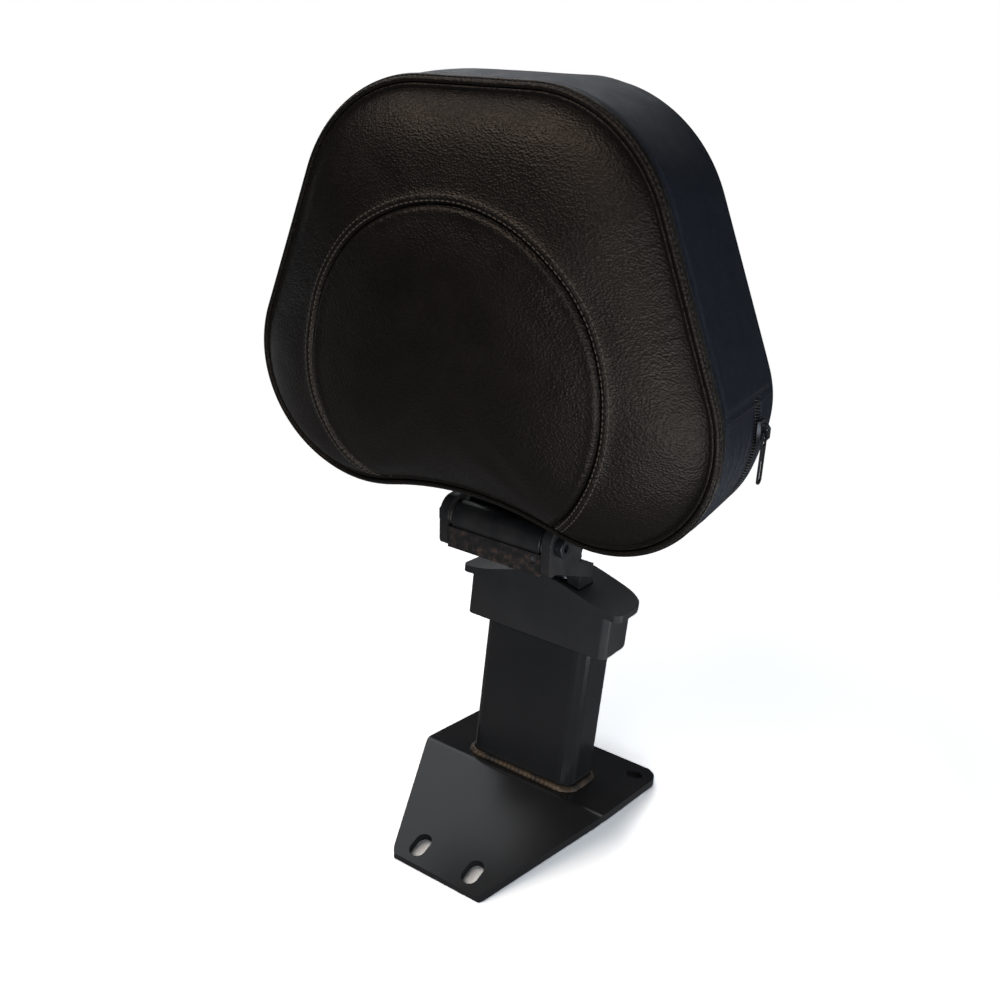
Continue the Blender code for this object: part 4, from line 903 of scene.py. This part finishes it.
def folds(depth, middle, gather):
    """Creases that run along the band, gathered towards the lower corners."""
    low = np.clip((CROSS_Z - 0.006 - EDGE_Z) / 0.025, 0, 1)
    near_corner = 0.35 + 0.65 * hill(EDGE_Z, 0.035, 0.040)
    phase = (depth - middle) / gather + 0.10 * np.sin(ALONG * 38.0) + 0.22 * np.sin(ALONG * 13.0 + 0.6)
    wave = np.abs(np.sin(math.pi * phase)) ** 0.75
    return (0.0021 * wave - 0.0013) * low * near_corner


def upper_relief(depth):
    hem = 0.00035 * hill(depth, GUSSET_FRONT + 0.0030, 0.0016)
    end = 0.00035 * hill(depth, DEPTH - 0.0060, 0.0018)
    return lump(side_at(0.0, depth), 21, 0.09) * 0.00022 + cross_seam(1.0) + hem + end


def lower_relief(depth):
    return folds(depth, 0.006, 0.0072) + cross_seam(-1.0) + lump(side_at(0.0, depth), 23, 0.05) * 0.0002


def rear_relief(depth):
    return 0.6 * folds(depth, 0.045, 0.0065) + cross_seam(-1.0) + lump(side_at(0.0, depth), 27, 0.05) * 0.0002


def tape_relief(depth):
    return -0.0004 - 0.0003 * hill(depth, ZIP_DEPTH, 0.0012)


upper = side_band("upper_gusset_soft", ABOVE, GUSSET_FRONT, GUSSET_REAR, upper_relief)
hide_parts("upper_gusset")
lower_front = side_band("lower_gusset_front_soft", BELOW, GUSSET_FRONT, ZIP_DEPTH - ZIP_HALF - GAP, lower_relief)
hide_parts("lower_gusset_front")
lower_rear = side_band("lower_gusset_rear_soft", BELOW, ZIP_DEPTH + ZIP_HALF + GAP, GUSSET_REAR, rear_relief,
                       notch=True)
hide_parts("lower_gusset_rear")

# Zip: woven tape behind, and two rows of coil loops that mesh in its middle
tape = side_band("zip_tape_soft", BELOW, ZIP_DEPTH - ZIP_HALF, ZIP_DEPTH + ZIP_HALF, tape_relief, "zip", 0.0016, 0.0001)
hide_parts("zip_chain")

# A coil loop's way over the tape: across and out, and the oval that its thread is there, along and out
COIL_PATH = [(-0.00145, -0.00055), (-0.00115, 0.0001), (-0.0004, 0.00042), (0.0004, 0.00042), (0.001, 0.00012),
             (0.0013, -0.0005)]
COIL_OVAL = (0.00052, 0.00034)
COIL_SIDES = 6
places = rows_between(EDGE_Z, -1.0, CROSS_Z - 0.0005)
run = places[-1] - places[0]
count = int(run * STEP / TOOTH)
for label, side, offset in (("front", -1.0, 0.75), ("rear", 1.0, 0.25)):
    at = places[0] + (np.arange(count) + offset) / count * run
    crests = rows_at(side_at(0.0, ZIP_DEPTH + side * 0.0009), at)
    middle = side_at(0.0, ZIP_DEPTH)
    steps = rows_at(middle, at + 0.1) - rows_at(middle, at)
    verts, faces = [], []
    for crest, outward, step in zip(crests, rows_at(OUTWARD, at), steps):
        step = step / np.linalg.norm(step)
        faces += tube_faces(len(COIL_PATH), COIL_SIDES, len(verts))
        for across, out in COIL_PATH:
            for k in range(COIL_SIDES):
                a = 2.0 * math.pi * k / COIL_SIDES
                verts.append(crest + [0.0, across, 0.0] + outward * (out + COIL_OVAL[1] * math.sin(a))
                             + step * (COIL_OVAL[0] * math.cos(a)))
    add_mesh("zip_coil_" + label, to_world(np.array(verts)), faces, "coil")

# Rear panel, flat over the board, with its edge turned over
RIM = [(0.0, DEPTH - COVER), (0.0, DEPTH - 0.0014), (0.0005, DEPTH - 0.0007), (0.0014, DEPTH - 0.0002), (0.0028, DEPTH)]
REAR_SHARES = np.concatenate([[0.985, 0.968, 0.952, 0.934, 0.91], np.linspace(0.87, 0.06, 18)])
rear_y = -FRONT + DEPTH
hub = np.array([0.0, rear_y, CENTRE_Z * 0.93])
rings = [side_at(inset + drawn_in(DEPTH), depth) for inset, depth in RIM]
spokes = rings[-1] - hub
for share in REAR_SHARES:
    ring = hub + spokes * share
    from_rim = np.linalg.norm(spokes, axis=1) * (1.0 - share)
    hem = -0.00035 * hill(from_rim, 0.0052, 0.0009)
    slack = lump(ring, 31, 0.11) * 0.00030 + lump(ring, 37, 0.045) * 0.00010
    if share > REAR_SHARES[-1]:
        hem = hem + slack * np.clip(from_rim / 0.02, 0, 1)
    ring[:, 1] = rear_y + hem
    rings.append(ring)
top = np.stack(rings, 1)
low = top.copy()
low[:, :, 1] = rear_y - COVER
low[:, :len(RIM)] = np.stack([side_at(0.0002 + drawn_in(DEPTH) + 0.0011 * k, DEPTH - COVER)
                              for k in range(len(RIM))], 1)
low[:, 0] = top[:, 0]
rows, cols = top.shape[:2]
verts = np.vstack([top.reshape(-1, 3), low.reshape(-1, 3), hub, hub - [0.0, COVER, 0.0]])
faces = double_faces(rows, cols, True) + hub_faces(rows, cols, cols - 1)
rear = add_mesh("rear_panel_soft", to_world(verts), faces, "vinyl", flat_angle=60)
clean(rear.data, merge=0.000005)
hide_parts("rear_panel")

# Rings of a stitch: place along it, fatness and height
STITCH_RINGS = [(-0.5, 0.15, -0.55), (-0.36, 0.8, -0.12), (0.0, 1.0, 0.10), (0.36, 0.8, -0.12), (0.5, 0.15, -0.55)]
STITCH_SIDES = 6


def stitches(name, points, steps, up, length, width, look):
    """Row of short threads, one at each point of the pad along its step, on a surface with its normal up."""
    centres = to_world(points)
    verts, faces = [], []
    for centre, t, n in zip(centres, to_world(points + steps) - centres, up):
        t = t / np.linalg.norm(t)
        n = n - t * (n @ t)
        n /= np.linalg.norm(n)
        b = np.cross(t, n)
        faces += tube_faces(len(STITCH_RINGS), STITCH_SIDES, len(verts))
        for place, fat, lift in STITCH_RINGS:
            for k in range(STITCH_SIDES):
                a = 2.0 * math.pi * k / STITCH_SIDES
                around = (b * math.cos(a) + n * (math.sin(a) * 0.8)) * (width * 0.5 * fat)
                verts.append(centre + t * (place * length) + around + n * (lift * width))
    add_mesh(name, verts, faces, look)


def front_line(offset):
    """Points of the front at a distance outside the round seam, on the spokes that reach it."""
    reached = REACH - SEAM_R - offset > 0.0008
    first = next(i for i in range(COUNT) if reached[i] and not reached[i - 1])
    spokes = (first + np.arange(reached.sum())) % COUNT
    return front_surface(np.full((COUNT, 1), SEAM_R + offset))[spokes, 0]


for label, offset in (("outer", 0.0046), ("inner", 0.0018)):
    points, steps = along_line(front_line(offset), STITCH)
    radial = points[:, [0, 2]] - SEAM_C
    radial *= 0.35 / np.hypot(*radial.T)[:, None]
    up = np.stack([radial[:, 0], -np.ones(len(points)), radial[:, 1]], 1)
    stitches("arch_stitches_" + label, points, steps, up, 0.0027, 0.00075, "thread")

for label, degrees, sunk in (("inner", VALLEY, 0.00052), ("outer", HEM, 0.00022)):
    angle = math.radians(degrees)
    line = round_roll(WELT_R - sunk, angle)
    points, steps = along_line(np.vstack([line, line[:1]]), STITCH)
    up = np.cross([0.0, 1.0, 0.0], steps)
    up /= np.linalg.norm(up, axis=1)[:, None]
    up *= np.sign(np.einsum("ij,ij->i", up[:, [0, 2]], points[:, [0, 2]] - [0.0, CENTRE_Z]))[:, None]
    up = up * math.cos(angle) + [0.0, math.sin(angle), 0.0]
    stitches("edge_stitches_" + label, points, steps, up, STITCH * STITCH_FILLED, 0.00075, "dark_thread")

# Two rows of stitches beside each cross seam
for off in (-0.0026, 0.0026):
    for side in (-1.0, 1.0):
        places = rows_between(EDGE_Z, -1.0, CROSS_Z + off)
        place = places[-1:] if EDGE[int(places[-1]) % COUNT, 0] * side > 0 else places[:1]
        line = [rows_at(side_at(-0.0005 + drawn_in(depth), depth) + puff_side(depth), place)[0]
                for depth in np.linspace(GUSSET_FRONT + 0.001, GUSSET_REAR - 0.001, 60)]
        points, steps = along_line(np.array(line), STITCH)
        up = np.tile(rows_at(OUTWARD, place), (len(points), 1))
        stitches("seam_stitches_%d_%d" % (side > 0, off > 0), points, steps, up, STITCH * STITCH_FILLED, 0.0007,
                 "dark_thread")


# Camera: the one that was fitted to the photo
CAMERA_AT = (0.3025, -0.4963, 0.4897)
AZIMUTH, ELEVATION, ROLL = math.radians(32.79), math.radians(23.89), math.radians(2.13)
LENS, SENSOR = 37.75, 36


def add_camera():
    ahead = Vector((-math.sin(AZIMUTH) * math.cos(ELEVATION), math.cos(AZIMUTH) * math.cos(ELEVATION),
                    -math.sin(ELEVATION)))
    right = Vector((math.cos(AZIMUTH), math.sin(AZIMUTH), 0))
    up = right.cross(ahead)
    c, s = math.cos(ROLL), math.sin(ROLL)
    data = bpy.data.cameras.new("camera")
    data.lens = LENS
    data.sensor_width = SENSOR
    data.clip_start = 0.01
    camera = in_scene("camera", data)
    camera.matrix_world = Matrix((c * right + s * up, c * up - s * right, -ahead)).transposed().to_4x4()
    camera.location = CAMERA_AT
    bpy.context.scene.camera = camera


# Lights. Each one: the way to it and its distance, its width, height, power and colour, and what it is turned to
BODY = (0.0, 0.0, 0.28)
WARM, COOL, NEUTRAL = (1.0, 0.92, 0.85), (0.86, 0.93, 1.0), (0.97, 0.98, 1.0)
LIGHTS = {
    "key": ((-0.24, -0.60, 0.76), 1.5, 1.7, 0.46, 8.5, WARM, BODY),
    "ceiling": ((-0.50, 0.52, 0.72), 1.6, 1.5, 1.2, 6.9, (0.94, 0.97, 1.0), BODY),
    "side": ((0.80, 0.80, 0.22), 1.5, 0.7, 1.0, 1.5, (0.80, 0.90, 1.0), BODY),
    "front": ((0.90, -0.42, 0.06), 1.7, 0.5, 1.2, 5.0, COOL, BODY),
    "low": ((0.52, -0.84, -0.13), 0.70, 0.6, 0.20, 1.9, COOL, BODY),
    "left": ((-0.94, -0.10, -0.30), 0.90, 0.5, 0.30, 0.24, (0.90, 0.94, 1.0), (0.0, 0.0, 0.33)),
    "folds": ((0.66, 0.30, -0.69), 0.34, 0.16, 0.16, 0.32, NEUTRAL, (0.13, 0.0, 0.28)),
    "back": ((-0.80, 0.58, 0.15), 1.5, 0.9, 0.9, 2.4, NEUTRAL, BODY),
}


def add_light(name, direction, distance, width, height, power, colour, target):
    data = bpy.data.lights.new(name, "AREA")
    data.energy = power
    data.color = colour
    data.shape = "RECTANGLE"
    data.size = width
    data.size_y = height
    away = Vector(direction).normalized()
    light = in_scene(name, data)
    light.location = Vector(target) + away * distance
    light.rotation_euler = away.to_track_quat("Z", "Y").to_euler()


add_camera()
for name, values in LIGHTS.items():
    add_light(name, *values)

# World: white to the camera, nearly black to everything that it lights
world = bpy.data.worlds.new("world")
bpy.context.scene.world = world
sky = Graph(world)
background = sky.tree.nodes["Background"]
background.inputs["Strength"].default_value = 1.0
ray = sky.node("ShaderNodeLightPath")
mix = sky.node("ShaderNodeMix", {"A": (0.018, 0.019, 0.021, 1), "B": (1.0, 1.0, 1.0, 1)}, data_type="RGBA")
sky.link(ray.outputs["Is Camera Ray"], mix.inputs["Factor"])
sky.link(mix.outputs["Result"], background.inputs["Color"])

# Floor: white to the camera with the shadow left on it, a mid grey to everything that it lights. Away from the object
# the camera sees plain white
FLOOR_RADIUS = 0.9
FADE_FROM, FADE_TO = 0.30, 0.60
bm = bmesh.new()
bmesh.ops.create_circle(bm, cap_ends=True, segments=96, radius=FLOOR_RADIUS)
disc = bpy.data.meshes.new("floor")
bm.to_mesh(disc)
bm.free()
floor = in_scene("floor", disc)
floor.location.z = -0.0004
pale = bpy.data.materials.new("pale_floor")
disc.materials.append(pale)
paint = Graph(pale)
paint.tree.nodes.clear()
ray = paint.node("ShaderNodeLightPath")
seen = paint.node("ShaderNodeBsdfDiffuse", {"Color": FLOOR_SEEN})
lit = paint.node("ShaderNodeBsdfDiffuse", {"Color": FLOOR_LIT})
near = paint.node("ShaderNodeMixShader")
paint.link(ray.outputs["Is Camera Ray"], near.inputs["Fac"])
paint.link(lit.outputs["BSDF"], near.inputs[1])
paint.link(seen.outputs["BSDF"], near.inputs[2])
where = paint.node("ShaderNodeTexCoord")
away = paint.node("ShaderNodeVectorMath", operation="LENGTH")
fade = paint.node("ShaderNodeMapRange", {"From Min": FADE_FROM, "From Max": FADE_TO})
gate = paint.node("ShaderNodeMath", operation="MULTIPLY")
paint.link(where.outputs["Object"], away.inputs[0])
paint.link(away.outputs["Value"], fade.inputs["Value"])
paint.link(fade.outputs["Result"], gate.inputs[0])
paint.link(ray.outputs["Is Camera Ray"], gate.inputs[1])
far = paint.node("ShaderNodeEmission", {"Color": (1, 1, 1, 1)})
whole = paint.node("ShaderNodeMixShader")
paint.link(gate.outputs["Value"], whole.inputs["Fac"])
paint.link(near.outputs["Shader"], whole.inputs[1])
paint.link(far.outputs["Emission"], whole.inputs[2])
out = paint.node("ShaderNodeOutputMaterial")
paint.link(whole.outputs["Shader"], out.inputs["Surface"])

bpy.context.scene.view_settings.view_transform = "Standard"
